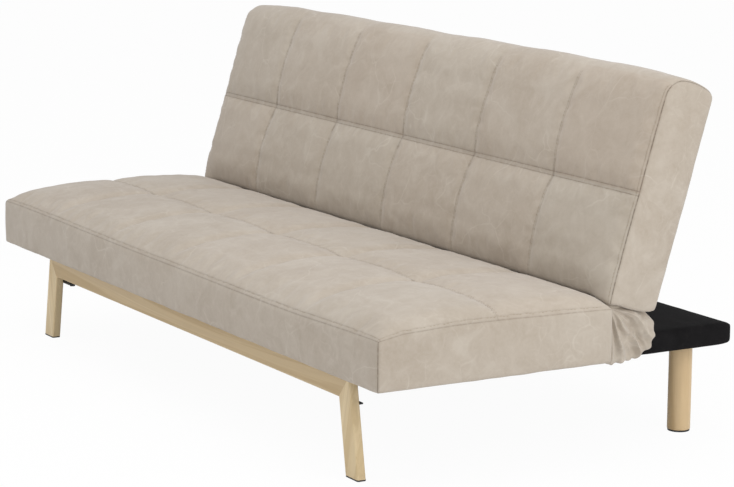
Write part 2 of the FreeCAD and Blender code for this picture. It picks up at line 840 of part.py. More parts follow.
def build_bracket_fasteners():
    front_of_web = "beam_setback + tube_depth"
    places = rail_screw_places()
    screws = []
    z = "rail_screw_height"
    head_y, shank_y = behind(f"{front_of_web} - head_thick"), behind(front_of_web)
    for n, x in enumerate(places):
        head = rod(f"rail_screw_head_{n}", "small_bolt * 2", "head_thick", x, head_y, z, "y")
        shank = rod(f"rail_screw_shank_{n}", "small_bolt", "rail_thick", x, shank_y, z, "y")
        screws.append(join(f"rail_screw_{n}", [head, shank]))
    keep(group("rail_screws", screws), "bracket_rail_screws")
    bolts = []
    z = "beam_bolt_height"
    head_y, shank_y = behind(f"{front_of_web} + bracket_thick"), behind(f"{front_of_web} - bolt_grip")
    for n, x in enumerate(places[1:3]):
        head = hexagon(f"beam_bolt_head_{n}", "small_bolt * 2", "head_thick", x, head_y, z, "y")
        shank = rod(f"beam_bolt_shank_{n}", "small_bolt", "bracket_thick + bolt_grip", x, shank_y, z, "y")
        bolts.append(join(f"beam_bolt_{n}", [head, shank]))
    keep(group("beam_bolts", bolts), "bracket_beam_bolts")
    foot_bolts = []
    low, high = "bracket_foot_bottom - foot_bolt_knob", "bracket_foot_bottom + bracket_thick"
    for side, sign in sides:
        x = foot_bolt_x(sign)
        label = f"foot_bolt_{side}"
        knob = rod(f"{label}_knob", "foot_bolt * 1.6", "foot_bolt_knob", x, foot_bolt_y, low)
        shank = rod(f"{label}_shank", "foot_bolt", "foot_bolt_length", x, foot_bolt_y, "bracket_foot_bottom")
        nut = hexagon(f"{label}_nut", "foot_bolt * 1.9", "nut_height", x, foot_bolt_y, high)
        foot_bolts.append(join(label, [knob, shank, nut]))
    keep(group("foot_bolts", foot_bolts), "bracket_foot_bolts")


# Round rear legs under the shelf
leg_top = "rail_bottom - bottom_board_thick - cloth_thick"


def is_round(edge):
    return edge.Curve.TypeId == "Part::GeomCircle"


def build_rear_legs():
    bolts = []
    low = f"{leg_top} - hanger_depth"
    for side, sign in sides:
        x = leg_x(sign)
        tall = f"{leg_top} - rear_cap_thick"
        stick = rod(f"leg_stick_{side}", "rear_leg_radius", tall, x, leg_y, "rear_cap_thick")
        turned = rounded(f"leg_turned_{side}", stick, "arris", is_round)
        bore = rod(f"leg_bore_{side}", "hanger_bolt", "hanger_depth", x, leg_y, low)
        keep(cut(f"rear_leg_{side}_turned", turned, [bore]), f"rear_leg_{side}")
        cap = rod(f"cap_blank_{side}", "rear_cap_radius", "rear_cap_thick", x, leg_y, "0")
        keep(rounded(f"cap_{side}", cap, "plug_gap", is_round), f"rear_leg_cap_{side}")
        reach = "hanger_depth + rail_height - hanger_short"
        bolts.append(rod(f"hanger_{side}", "hanger_bolt", reach, x, leg_y, low))
    keep(group("hangers", bolts), "rear_leg_bolts")


# Hinges: an arm on the seat rail, an arm on the back rail, one pin, and a ratchet pawl
pivot_y = behind("pivot_setback")
pivot_z = "pivot_height"
pawl_y = "seat_front + pivot_setback - pawl_pin_back"
pawl_z = "pivot_height - pawl_pin_drop"
back_plate_inner = "hinge_inner + plate_thick + plate_gap"
back_plate_outer = "hinge_inner + 2 * plate_thick + plate_gap"
head_inner = "hinge_inner + 2 * plate_thick + 2 * plate_gap"


def build_seat_arms():
    for side, sign in sides:
        x = side_span(sign, "hinge_inner", "hinge_inner + plate_thick")
        start = x[0]
        y = (behind("seat_arm_front"), f"{pivot_y} + eye_radius + seat_arm_toe")
        leg = block(f"seat_arm_{side}_leg", x, y, ("seat_arm_bottom", "seat_arm_bottom + seat_arm_height"))
        neck_y = (f"{pivot_y} - eye_radius", f"{pivot_y} + eye_radius")
        neck = block(f"seat_arm_{side}_neck", x, neck_y, ("seat_arm_bottom", pivot_z))
        eye = rod(f"seat_arm_{side}_eye", "eye_radius", "plate_thick", start, pivot_y, pivot_z, "x")
        ear = rod(f"seat_arm_{side}_ear", "pawl_ear", "plate_thick", start, pawl_y, pawl_z, "x")
        holes = [
            rod(f"seat_arm_{side}_pin_hole", "pin_radius", "plate_thick", start, pivot_y, pivot_z, "x"),
            rod(f"seat_arm_{side}_pawl_hole", "pawl_pin", "plate_thick", start, pawl_y, pawl_z, "x"),
        ]
        wide = "arm_bolt + hole_clearance"
        for n, place in enumerate(seat_bolt_places()):
            label = f"seat_arm_{side}_hole_{n}"
            holes.append(rod(label, wide, "plate_thick", start, place, seat_bolt_z, "x"))
        plate = join(f"seat_arm_{side}_plate", [leg, neck, eye, ear])
        keep(cut(f"seat_arm_{side}", plate, holes), f"hinge_seat_arm_{side}")


def x_start(sign, low, length):
    """Low end along X of a rod that reaches from low outwards by length on the given side."""
    return low if sign > 0 else f"-({low} + {length})"


def build_hinge_pins():
    pins = []
    reach = "2 * plate_thick + 2 * plate_gap"
    for side, sign in sides:
        start = x_start(sign, "hinge_inner", reach)
        shank = rod(f"pin_{side}_shank", "pin_radius", reach, start, pivot_y, pivot_z, "x")
        start = x_start(sign, head_inner, "head_thick")
        head = rod(f"pin_{side}_head", "pin_head", "head_thick", start, pivot_y, pivot_z, "x")
        pins.append(join(f"pin_{side}", [shank, head]))
    keep(group("pins", pins), "hinge_pins")


def notch_directions():
    """Where the ratchet notches lie round the back arm's eye, one for each place the back clicks into."""
    turn = 90 - size("back_tilt")
    step = turn / (ratchet_positions - 1)
    return [size("tip_direction") + step * n for n in range(ratchet_positions)]


def turned_point(radius, degrees):
    angle = math.radians(degrees)
    return Vector(0, radius * math.cos(angle), radius * math.sin(angle))


def plate_outline(points, x, thick):
    corners = [Vector(x, point.y, point.z) for point in points]
    face = Part.Face(Part.makePolygon(corners + corners[:1]))
    return face.extrude(Vector(thick, 0, 0))


def build_back_arms():
    """Plate whose notched eye turns on the pin and whose cranked tail is bolted to the back's side rail."""
    pivot = Vector(0, size("seat_front") + size("pivot_setback"), size("pivot_height"))
    lean_turn = Rotation(Vector(-1, 0, 0), size("back_tilt"))
    foot = Vector(0, size("seat_front") + size("back_foot_setback"), size("back_foot_height"))
    depth, rise = size("pivot_depth"), size("pivot_rise")
    eye = size("eye_radius")
    tail_front = size("back_rail_front") + 4
    tail_rear = size("back_rail_front") + size("back_rail_thick") - 2
    tail_end = size("back_arm_end")
    cranked = [
        Vector(0, depth - 4, rise + eye - 2),
        Vector(0, tail_front, rise + size("crank_front")),
        Vector(0, tail_front, tail_end),
        Vector(0, tail_rear, tail_end),
        Vector(0, tail_rear, rise + size("crank_rear")),
        Vector(0, depth + size("crank_neck"), rise + size("crank_rise")),
    ]
    tail = [foot + lean_turn.multVec(point) for point in cranked]
    pin_hole = size("pin_radius") + size("pin_clearance")
    bolt_hole = size("arm_bolt") + size("hole_clearance")
    half = size("notch_angle") / 2
    flare = size("notch_flare")
    floor = eye - size("tooth_depth") - size("tooth_clearance")
    for side, sign in sides:
        thick = size("plate_thick")
        inner = size("hinge_inner") + thick + size("plate_gap")
        x = inner if sign > 0 else -(inner + thick)
        plate = plate_outline([pivot] + tail[::-1], x, thick)
        disc = Part.makeCylinder(eye, thick, Vector(x, pivot.y, pivot.z), along_x)
        plate = plate.fuse(disc)
        cutters = [Part.makeCylinder(pin_hole, thick, Vector(x, pivot.y, pivot.z), along_x)]
        for n, direction in enumerate(notch_directions()):
            # the first notch is long, so that the back can rock forward past its upright place
            spare = size("over_travel") if n == 0 else 0
            swings = [-half - flare - spare * share for share in (1, 0.5, 0)] + [half + flare]
            notch = [pivot + turned_point(floor, direction + swing) for swing in swings]
            mouth = (half + 3 * flare, -half - flare - spare)
            notch += [pivot + turned_point(eye + 3, direction + swing) for swing in mouth]
            cutters.append(plate_outline(notch, x, thick))
        for place in back_bolt_points(foot, lean_turn):
            cutters.append(Part.makeCylinder(bolt_hole, thick, Vector(x, place.y, place.z), along_x))
        plate = plate.cut(Part.makeCompound(cutters)).removeSplitter()
        keep(shape_part(f"back_arm_{side}", plate), f"hinge_back_arm_{side}")


def back_bolt_points(foot, lean_turn):
    depth = size("back_rail_front") + size("back_rail_thick") / 2
    heights = [size("back_bolt_height"), size("back_bolt_height") + size("back_bolt_pitch")]
    return [foot + lean_turn.multVec(Vector(0, depth, height)) for height in heights]


def build_pawls():
    """Toothed lever on the seat arm, drawn lifted clear of the notched eye so that the back can turn."""
    pivot = Vector(0, size("seat_front") + size("pivot_setback"), size("pivot_height"))
    hub_centre = pivot + Vector(0, -size("pawl_pin_back"), -size("pawl_pin_drop"))
    tip_direction = size("tip_direction")
    half = size("notch_angle") / 2
    eye = size("eye_radius")
    root = eye - size("tooth_depth")
    tip = pivot + turned_point(root, tip_direction)
    toe = pivot + turned_point(root, tip_direction - half)
    heel = pivot + turned_point(eye + 1, tip_direction - half - size("notch_flare"))
    front = pivot + turned_point(eye + 1, tip_direction + half)
    reach = (tip - hub_centre).normalize()
    square = Vector(0, -reach.z, reach.y)
    hub = size("pawl_hub")
    lever = [
        hub_centre + square * (hub - 1),
        heel,
        toe,
        tip,
        front,
        front + Vector(0, size("pawl_back_run"), -size("pawl_back_drop")),
        hub_centre - square * (hub - 0.5),
    ]
    lift = Rotation(along_x, -size("pawl_lift"))
    lifted = [hub_centre + lift.multVec(point - hub_centre) for point in lever]
    pin_hole = size("pawl_pin") + size("pin_clearance")
    for side, sign in sides:
        thick = size("plate_thick") - 2 * size("hole_clearance")
        inner = size("hinge_inner") + size("plate_thick") + size("plate_gap") + size("hole_clearance")
        x = inner if sign > 0 else -(inner + thick)
        hub_start = Vector(x, hub_centre.y, hub_centre.z)
        plate = plate_outline(lifted, x, thick)
        plate = plate.fuse(Part.makeCylinder(hub, thick, hub_start, along_x))
        plate = plate.cut(Part.makeCylinder(pin_hole, thick, hub_start, along_x))
        keep(shape_part(f"pawl_{side}", plate.removeSplitter()), f"hinge_pawl_{side}")


def build_pawl_fittings():
    pins = []
    springs = []
    reach = "2 * plate_thick + 2 * plate_gap"
    thin_head = "head_thick - 1"
    top = f"{pawl_z} - spring_drop"
    for side, sign in sides:
        start = x_start(sign, "hinge_inner", reach)
        shank = rod(f"pawl_pin_{side}_shank", "pawl_pin", reach, start, pawl_y, pawl_z, "x")
        start = x_start(sign, head_inner, thin_head)
        head = rod(f"pawl_pin_{side}_head", "pawl_pin * 1.8", thin_head, start, pawl_y, pawl_z, "x")
        pins.append(join(f"pawl_pin_{side}", [shank, head]))
        x = side_span(sign, "hinge_inner + plate_thick", "hinge_inner + plate_thick + spring_width")
        y = (f"{pawl_y} - spring_front", f"{pawl_y} + spring_rear")
        strip = block(f"spring_{side}_strip", x, y, (f"{top} - spring_rise", top))
        rest = block(f"spring_{side}_foot", x, (y[0], f"{pawl_y} - 2"), (f"{top} - spring_foot", top))
        springs.append(join(f"spring_{side}", [strip, rest]))
    keep(group("pawl_pin_pair", pins), "pawl_pins")
    keep(group("pawl_spring_pair", springs), "pawl_springs")


def build_arm_bolts():
    seat_bolts = []
    back_bolts = []
    foot = Vector(0, size("seat_front") + size("back_foot_setback"), size("back_foot_height"))
    lean_turn = Rotation(Vector(-1, 0, 0), size("back_tilt"))
    inner = "frame_half - rail_thick"
    reach = "rail_thick + cloth_thick + plate_thick"
    thick_head = "head_thick + 1"
    back_start = size("hinge_inner") + 2 * size("plate_thick") + size("plate_gap")
    back_reach = size("rail_thick") + size("plate_thick")
    for side, sign in sides:
        for n, place in enumerate(seat_bolt_places()):
            label = f"seat_bolt_{side}_{n}"
            start = x_start(sign, inner, reach)
            shank = rod(f"{label}_shank", "arm_bolt", reach, start, place, seat_bolt_z, "x")
            start = x_start(sign, f"{inner} + {reach}", thick_head)
            head = hexagon(f"{label}_head", "arm_bolt * 1.8", thick_head, start, place, seat_bolt_z, "x")
            seat_bolts.append(join(label, [shank, head]))
        for place in back_bolt_points(foot, lean_turn):
            centre = Vector(sign * back_start, place.y, place.z)
            inward = along_x * -sign
            shank = Part.makeCylinder(size("arm_bolt"), back_reach, centre, inward)
            head = Part.makeCylinder(size("arm_bolt") * 1.7, size("head_thick") + 1, centre, -inward)
            back_bolts.append(shank.fuse(head).removeSplitter())
    keep(group("seat_bolts", seat_bolts), "hinge_seat_bolts")
    keep(shape_part("back_bolts", Part.makeCompound(back_bolts)), "hinge_back_bolts")


# Frame inside the back, drawn upright and leaned with the padding
back_rail_y = ("back_rail_front", "back_rail_front + back_rail_thick")
back_half = back_plate_inner


def build_back_frame():
    low = "back_bottom_rail_low"
    high = "back_top_rail_low"
    x = (f"-({back_half})", back_half)
    for name, start in (("bottom", low), ("top", high)):
        rail = timber(f"back_{name}", x, back_rail_y, (start, f"{start} + back_rail_height"), along_x)
        keep(lean(rail), f"back_{name}_rail")
    z = (f"{low} + back_rail_height", high)
    heights = ("back_bolt_height", "back_bolt_height + back_bolt_pitch")
    wide, depth = "arm_bolt + hole_clearance", "back_rail_front + back_rail_thick / 2"
    for side, sign in sides:
        x = side_span(sign, f"{back_half} - rail_thick", back_half)
        rail = timber(f"back_side_{side}", x, back_rail_y, z, along_z)
        holes = [
            rod(f"back_side_{side}_hole_{n}", wide, "rail_thick", x[0], depth, height, "x")
            for n, height in enumerate(heights)
        ]
        keep(lean(cut(f"back_side_rail_{side}_drilled", rail, holes)), f"back_side_rail_{side}")
        x = side_span(sign, "middle_rail_centre - rail_thick / 2", "middle_rail_centre + rail_thick / 2")
        keep(lean(timber(f"back_middle_{side}", x, back_rail_y, z, along_z)), f"back_middle_rail_{side}")
    y = ("back_rail_front - slat_thick", "back_rail_front")
    z = (f"{low} + arris", f"{high} + back_rail_height - arris")
    for n in range(back_slats):
        centre = f"back_slat_pitch * {n - (back_slats - 1) / 2}"
        x = (f"{centre} - slat_width / 2", f"{centre} + slat_width / 2")
        keep(lean(timber(f"upright_slat_{n + 1}", x, y, z, along_z)), f"back_slat_{n + 1}")


def build_back_panel():
    """Cloth panel that closes the back, flush with the padding round it."""
    x = ("-(back_slot_inner - panel_inset)", "back_slot_inner - panel_inset")
    y = ("back_rail_front + back_rail_thick", "back_thick")
    z = ("back_recess_low + panel_inset", "back_recess_high - panel_inset")
    panel = block("panel_blank", x, y, z)
    keep(lean(group("panel", [panel])), "back_rear_panel")


# Gathered cloth over each hinge, between the end of the seat and the end of the back
def ruffle_section(x, swell, scallop):
    front = size("seat_front") + size("seat_depth")
    middle = Vector(x, front + 58, 258)

    def at(setback, z):
        point = Vector(x, front + setback, z)
        return middle + (point - middle) * swell

    corners = [at(0.5, 207), at(0.5, 316), at(32, 310), at(64, 302), at(110, 283)]
    corners += [at(117, 262), at(118, 240), at(112, 222), at(94, 213), at(70, 209), at(44, 208), at(22, 204)]
    corners = [Vector(x, max(corner.y, front), corner.z) for corner in corners]
    edges = [line(corners[0], corners[1])]
    for start, end in zip(corners[1:], corners[2:] + corners[:1]):
        out = (start + end) * 0.5 - middle
        out.x = 0
        edges.append(arc(start, (start + end) * 0.5 + out.normalize() * scallop, end))
    return Part.Wire(edges)


def build_hinge_covers():
    inner, outer = size("ruffle_inner"), size("ruffle_outer")
    for side, sign in sides:
        sections = [
            ruffle_section(sign * inner, 0.93, 1.5),
            ruffle_section(sign * (inner + (outer - inner) * 0.6), 1.0, 3.0),
            ruffle_section(sign * (inner + (outer - inner) * 0.9), 0.94, 3.0),
            ruffle_section(sign * outer, 0.82, 2.0),
        ]
        keep(shape_part(f"hinge_cover_{side}", Part.makeLoft(sections, True, False)), f"hinge_cover_{side}")


def build_all():
    build_front_rail()
    build_side_rails()
    build_cross_rails()
    build_shelf_rear_rail()
    build_shelf_boards()
    build_shelf_cover()
    build_dust_cloth()
    build_seat_slats()
    build_seat_cushion()
    build_leg_frame()
    build_front_glides()
    build_leg_brackets()
    build_bracket_fasteners()
    build_rear_legs()
    build_seat_arms()
    build_hinge_pins()
    build_back_arms()
    build_pawls()
    build_pawl_fittings()
    build_arm_bolts()
    build_back_frame()
    build_back_panel()
    build_back_cushion()
    build_hinge_covers()


def check_and_write():
    doc.recompute()
    for item in doc.Objects:
        if "Invalid" in item.State or "Error" in item.State:
            raise RuntimeError(f"{item.Label} failed: {item.State}")
    os.makedirs("parts", exist_ok=True)
    for item in sub_parts:
        shape = item.Shape
        if shape.isNull() or not shape.isValid() or shape.Volume <= 0:
            raise RuntimeError(f"{item.Label} has no valid solid")
    for item in sub_parts:
        item.Shape.exportStep(f"parts/{item.Label}.step")
        print(f"{item.Label:28s} {len(item.Shape.Solids)} solid(s) {item.Shape.Volume / 1000:10.1f} cm3")
    print(len(sub_parts), "nodes")


build_all()
check_and_write()
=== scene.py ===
import math
import bpy
import bmesh
from mathutils import Matrix, Vector, noise
from mathutils.bvhtree import BVHTree
from mathutils.kdtree import KDTree


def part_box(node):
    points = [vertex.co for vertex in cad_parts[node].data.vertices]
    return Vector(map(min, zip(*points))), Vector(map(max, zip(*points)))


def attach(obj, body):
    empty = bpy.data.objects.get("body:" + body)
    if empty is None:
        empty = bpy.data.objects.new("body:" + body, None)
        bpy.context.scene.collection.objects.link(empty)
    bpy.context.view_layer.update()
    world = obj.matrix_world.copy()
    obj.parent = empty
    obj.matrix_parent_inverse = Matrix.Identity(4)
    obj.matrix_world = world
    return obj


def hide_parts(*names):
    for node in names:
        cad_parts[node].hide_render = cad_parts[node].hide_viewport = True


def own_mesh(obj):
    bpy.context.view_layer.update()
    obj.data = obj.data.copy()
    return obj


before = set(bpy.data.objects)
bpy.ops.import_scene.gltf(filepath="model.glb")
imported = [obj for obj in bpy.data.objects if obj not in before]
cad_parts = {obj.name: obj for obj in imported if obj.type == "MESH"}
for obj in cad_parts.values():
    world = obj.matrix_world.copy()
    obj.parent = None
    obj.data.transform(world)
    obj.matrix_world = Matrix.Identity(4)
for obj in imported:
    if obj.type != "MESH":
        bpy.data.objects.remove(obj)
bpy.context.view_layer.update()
print("frame loaded", len(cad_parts), "nodes")


# ---------- small helpers

def deselectAll():
    bpy.ops.object.select_all(action="DESELECT")


def makeActive(piece):
    deselectAll()
    piece.select_set(True)
    bpy.context.view_layer.objects.active = piece


def tidyMesh(piece):
    makeActive(piece)
    bpy.ops.object.mode_set(mode="EDIT")
    bpy.ops.mesh.select_all(action="SELECT")
    bpy.ops.mesh.normals_make_consistent(inside=False)
    bpy.ops.object.mode_set(mode="OBJECT")


def applyAll(piece):
    makeActive(piece)
    for modifier in list(piece.modifiers):
        bpy.ops.object.modifier_apply(modifier=modifier.name)


def pickEdges(piece, wanted):
    mesh = bmesh.from_edit_mesh(piece.data)
    for item in list(mesh.verts) + list(mesh.edges) + list(mesh.faces):
        item.select = False
    for edge in mesh.edges:
        if wanted(edge.verts[0].co, edge.verts[1].co):
            edge.select = True
    bmesh.update_edit_mesh(piece.data)


def cutsFor(cells):
    # subdivide takes at most 100 cuts, so long runs are cut in two goes
    return [cells - 1] if cells <= 100 else [cells // 2 - 1, 1]


def boxGrid(name, low, high, cells):
    # a closed box cut into even cells along its three directions
    deselectAll()
    middle = [(a + b) / 2 for a, b in zip(low, high)]
    bpy.ops.mesh.primitive_cube_add(size=1, location=middle)
    piece = bpy.context.object
    piece.name = name
    piece.scale = [b - a for a, b in zip(low, high)]
    bpy.ops.object.transform_apply(location=True, rotation=False, scale=True)
    bpy.ops.object.mode_set(mode="EDIT")
    bpy.ops.mesh.select_mode(type="EDGE")
    for axis in range(3):
        for cuts in cutsFor(cells[axis]):
            pickEdges(piece, lambda a, b, axis=axis: abs(a[axis] - b[axis]) > 1e-5)
            bpy.ops.mesh.subdivide(number_cuts=cuts)
    bpy.ops.object.mode_set(mode="OBJECT")
    return piece


def rememberFlat(piece):
    # where each point lay on the cover before it was padded out: seams are drawn by it
    points = piece.data.attributes.new("flat", "FLOAT_VECTOR", "POINT")
    for vertex, point in zip(piece.data.vertices, points.data):
        point.vector = vertex.co


def flatOf(piece):
    return [Vector(point.vector) for point in piece.data.attributes["flat"].data]


def curveThrough(stops, x):
    if x <= stops[0][0]:
        return stops[0][1]
    for (x0, y0), (x1, y1) in zip(stops, stops[1:]):
        if x <= x1:
            t = (x - x0) / (x1 - x0)
            t = t * t * (3 - 2 * t)
            return y0 + (y1 - y0) * t
    return stops[-1][1]


def arch(t):
    # 0 at both ends of a run and 1 at its middle
    return max(0.0, math.sin(math.pi * min(1.0, max(0.0, t))))


def srgb(red, green, blue):
    def linear(value):
        value = value / 255
        return value / 12.92 if value <= 0.04045 else ((value + 0.055) / 1.055) ** 2.4
    return (linear(red), linear(green), linear(blue), 1)


# ---------- shader recipes

class Wire:
    # one shader socket that can stand in an ordinary sum
    def __init__(self, recipe, socket):
        self.recipe = recipe
        self.socket = socket

    def __add__(self, other):
        return self.recipe.maths("ADD", self, other)

    def __sub__(self, other):
        return self.recipe.maths("SUBTRACT", self, other)

    def __rsub__(self, other):
        return self.recipe.maths("SUBTRACT", other, self)

    def __mul__(self, other):
        return self.recipe.maths("MULTIPLY", self, other)

    def __truediv__(self, other):
        return self.recipe.maths("DIVIDE", self, other)

    def __abs__(self):
        return self.recipe.maths("ABSOLUTE", self)

    def atLeast(self, other):
        return self.recipe.maths("MAXIMUM", self, other)

    def atMost(self, other):
        return self.recipe.maths("MINIMUM", self, other)

    __radd__ = __add__
    __rmul__ = __mul__


class Recipe:
    def __init__(self, name):
        self.material = bpy.data.materials.new(name)
        self.material.use_nodes = True
        self.nodes = self.material.node_tree.nodes
        self.links = self.material.node_tree.links
        self.nodes.clear()
        self.finish = self.add("ShaderNodeOutputMaterial")
        self.shader = self.add("ShaderNodeBsdfPrincipled")
        self.links.new(self.shader.outputs[0], self.finish.inputs["Surface"])

    def add(self, kind, settings=None, sockets=None):
        node = self.nodes.new(kind)
        for name, value in (settings or {}).items():
            if name == "stops":
                ramp = node.color_ramp
                while len(ramp.elements) < len(value):
                    ramp.elements.new(0.5)
                for element, (place, colour) in zip(ramp.elements, value):
                    element.position = place
                    element.color = colour
            else:
                setattr(node, name, value)
        for name, value in (sockets or {}).items():
            self.plug(node.inputs[name], value)
        return node

    def plug(self, socket, value):
        if isinstance(value, Wire):
            self.links.new(value.socket, socket)
        else:
            socket.default_value = value

    def wire(self, node, output=0):
        return Wire(self, node.outputs[output])

    def maths(self, operation, *values):
        return self.wire(self.add("ShaderNodeMath", {"operation": operation}, dict(enumerate(values))))

    def vectors(self, operation, *values):
        return self.wire(self.add("ShaderNodeVectorMath", {"operation": operation}, dict(enumerate(values))))

    def place(self):
        return self.wire(self.add("ShaderNodeTexCoord"), "Object")

    def attribute(self, name):
        return self.wire(self.add("ShaderNodeAttribute", {"attribute_name": name}), "Vector")

    def split(self, vector):
        node = self.add("ShaderNodeSeparateXYZ", None, {0: vector})
        return [self.wire(node, n) for n in range(3)]

    def join(self, x, y, z):
        return self.wire(self.add("ShaderNodeCombineXYZ", None, {0: x, 1: y, 2: z}))

    def stretched(self, vector, scale):
        return self.wire(self.add("ShaderNodeMapping", None, {"Vector": vector, "Scale": scale}))

    def cloud(self, vector, scale, detail=3, roughness=0.5, distortion=0.0):
        sockets = {"Vector": vector, "Scale": scale, "Detail": detail}
        sockets.update({"Roughness": roughness, "Distortion": distortion})
        return self.wire(self.add("ShaderNodeTexNoise", None, sockets))

    def cracks(self, vector, scale, wander=1.0):
        settings = {"feature": "DISTANCE_TO_EDGE"}
        sockets = {"Vector": vector, "Scale": scale, "Randomness": wander}
        return self.wire(self.add("ShaderNodeTexVoronoi", settings, sockets), "Distance")

    def spread(self, value, low, high, newLow=0.0, newHigh=1.0):
        sockets = {"Value": value, "From Min": low, "From Max": high, "To Min": newLow, "To Max": newHigh}
        return self.wire(self.add("ShaderNodeMapRange", {"interpolation_type": "SMOOTHSTEP"}, sockets))

    def ramp(self, value, stops):
        return self.wire(self.add("ShaderNodeValToRGB", {"stops": stops}, {0: value}))

    def mix(self, share, first, second, way="MIX"):
        settings = {"data_type": "RGBA", "blend_type": way}
        node = self.add("ShaderNodeMix", settings, {0: share, 6: first, 7: second})
        return self.wire(node, 2)

    def line(self, distance, width):
        # 1 on the line, fading to 0 at its width
        return (1 - abs(distance) / width).atLeast(0)

    def bump(self, height, depth, strength=1.0):
        node = self.add("ShaderNodeBump", None, {"Strength": strength, "Distance": depth, "Height": height})
        self.plug(self.shader.inputs["Normal"], self.wire(node))

    def set(self, **values):
        for name, value in values.items():
            self.plug(self.shader.inputs[name.replace("_", " ")], value)
        return self.material


def dress(names, material):
    for name in names:
        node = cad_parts[name]
        node.data.materials.clear()
        node.data.materials.append(material)


# ---------- finishes

suedeLook = {
    "ground": srgb(178, 166, 152),
    "pale": srgb(201, 193, 181),
    "deep": srgb(158, 144, 127),
    "warm": srgb(170, 149, 130),
    "cool": srgb(178, 173, 160),
    # painted shade for the seam grooves and stitch holes, darker than both the cloth and the thread
    "seam": srgb(78, 64, 50),
    "roughness": 0.9,
    "sheen": 0.30,
}


def suedeCloth(name, seamLines=None, panelRows=None, panelShare=0.5):
    # short napped microfibre, rubbed pale in soft blotches and crossed by fine creases
    look = suedeLook
    paint = Recipe(name)
    place = paint.place()
    broad = paint.cloud(place, 5.5, 4, 0.55, 0.6)
    marble = paint.cloud(place, 19, 5, 0.58, 1.3)
    nap = paint.cloud(place, 130, 4, 0.6, 0.4)
    fibre = paint.cloud(place, 900, 2, 0.6)
    swirl = paint.add("ShaderNodeTexNoise", None, {"Vector": place, "Scale": 9.0, "Detail": 3.0})
    drift = paint.vectors("SCALE", paint.vectors("SUBTRACT", paint.wire(swirl, "Color"), (0.5, 0.5, 0.5)))
    drift.socket.node.inputs["Scale"].default_value = 0.11
    wandering = paint.vectors("ADD", place, drift)
    creases = paint.line(paint.cracks(wandering, 7.5), 0.016)
    creases = creases * paint.spread(paint.cloud(place, 8, 2), 0.46, 0.62)
    fineCreases = paint.line(paint.cracks(wandering, 22), 0.040)
    fineCreases = fineCreases * paint.spread(paint.cloud(place, 13, 2), 0.48, 0.66)
    colour = paint.mix(paint.spread(broad, 0.30, 0.70) * 0.4 + 0.3, look["deep"], look["pale"])
    colour = paint.mix(0.55, colour, look["ground"])
    colour = paint.mix(paint.spread(marble, 0.46, 0.74) * 0.30, colour, look["pale"])
    colour = paint.mix(paint.spread(marble, 0.50, 0.28) * 0.20, colour, look["deep"])
    colour = paint.mix(paint.spread(nap, 0.35, 0.75) * 0.16, colour, look["pale"])
    colour = paint.mix((creases * 0.46 + fineCreases * 0.24).atMost(0.5), colour, look["pale"])
    height = marble * 0.22 + nap * 0.2 + fibre * 0.10 + creases * 0.10
    flat = paint.split(paint.attribute("flat")) if seamLines else None
    if panelRows:
        # each panel was cut from its own piece of cloth and takes the light in its own way
        column = paint.maths("FLOOR", flat[0] / 0.3)
        row = paint.maths("GREATER_THAN", flat[panelRows[0]], panelRows[1])
        onFace = paint.maths("LESS_THAN", abs(flat[panelRows[2]] - panelRows[3]), 0.002)
        tile = paint.join(column, row, 0.0)
        dice = paint.add("ShaderNodeTexWhiteNoise", {"noise_dimensions": "3D"}, {"Vector": tile})
        chance = paint.wire(dice)
        wave = (chance * 2 - 1) * onFace * panelShare
        colour = paint.mix(wave.atLeast(0), colour, look["warm"])
        colour = paint.mix((wave * -1).atLeast(0), colour, look["cool"])
    if seamLines:
        # each seam paints shade into the colour: a dashed dark line for the shade in the groove and stitch
        # holes, and a wider, fainter band of painted shade over the dip that is also pressed into the bump
        breaks = paint.spread(paint.cloud(place, 120, 2, 0.5), 0.34, 0.6, 0.45, 1.0)
        for distance, strength, width in seamLines(paint, flat):
            # the dashed line called thread is painted shade of the stitch holes and groove, not the thread's
            # own colour
            thread = paint.line(distance, width) * breaks
            dip = paint.line(distance, width * 2.6)
            colour = paint.mix(thread * strength + dip * (strength * 0.22), colour, look["seam"])
            height = height - dip * (1.4 * strength)
    paint.bump(height, 0.0011, 0.5)
    paint.set(Base_Color=colour, Roughness=look["roughness"], Specular_IOR_Level=0.15)
    return paint.set(Sheen_Weight=look["sheen"], Sheen_Roughness=0.45, Sheen_Tint=srgb(236, 238, 244))


def threadFinish():
    paint = Recipe("sewing thread")
    place = paint.place()
    twist = paint.cloud(place, 700, 2, 0.5)
    colour = paint.mix(twist, srgb(148, 134, 115), srgb(172, 158, 139))
    paint.bump(twist, 0.0003, 0.4)
    return paint.set(Base_Color=colour, Roughness=0.7, Specular_IOR_Level=0.25)


def blackClothFinish(name, lift=1.0):
    # pressed fibre cloth: felted specks, faint pulls and a little dust
    paint = Recipe(name)
    place = paint.place()
    felt = paint.cloud(place, 420, 4, 0.65)
    pulls = paint.cloud(paint.stretched(place, (6, 26, 26)), 1.0, 4, 0.55, 0.8)
    dust = paint.cloud(place, 36, 5, 0.6)
    shade = (felt * 0.5 + pulls * 0.5) * lift
    colour = paint.ramp(shade, [(0.25, srgb(17, 16, 17)), (0.6, srgb(29, 28, 29)), (0.9, srgb(41, 39, 40))])
    colour = paint.mix(paint.spread(dust, 0.55, 0.85) * 0.07, colour, srgb(96, 92, 88))
    paint.bump(felt * 0.5 + pulls * 0.9, 0.0016, 0.5)
    return paint.set(Base_Color=colour, Roughness=0.95, Specular_IOR_Level=0.06, Sheen_Weight=0.02)


woodLook = {
    "pale": srgb(212, 190, 152),
    "mid": srgb(198, 174, 134),
    "vein": srgb(174, 147, 108),
}
# the front legs share the beam's wood-effect finish; this copy is painted paler for the stronger light
# falling on the legs, while the beam sits in the seat's shade
litLegLook = {
    "pale": srgb(226, 206, 168),
    "mid": srgb(214, 191, 149),
    "vein": srgb(190, 164, 122),
}
beechLook = {
    "pale": srgb(222, 196, 156),
    "mid": srgb(208, 179, 135),
    "vein": srgb(180, 149, 105),
}


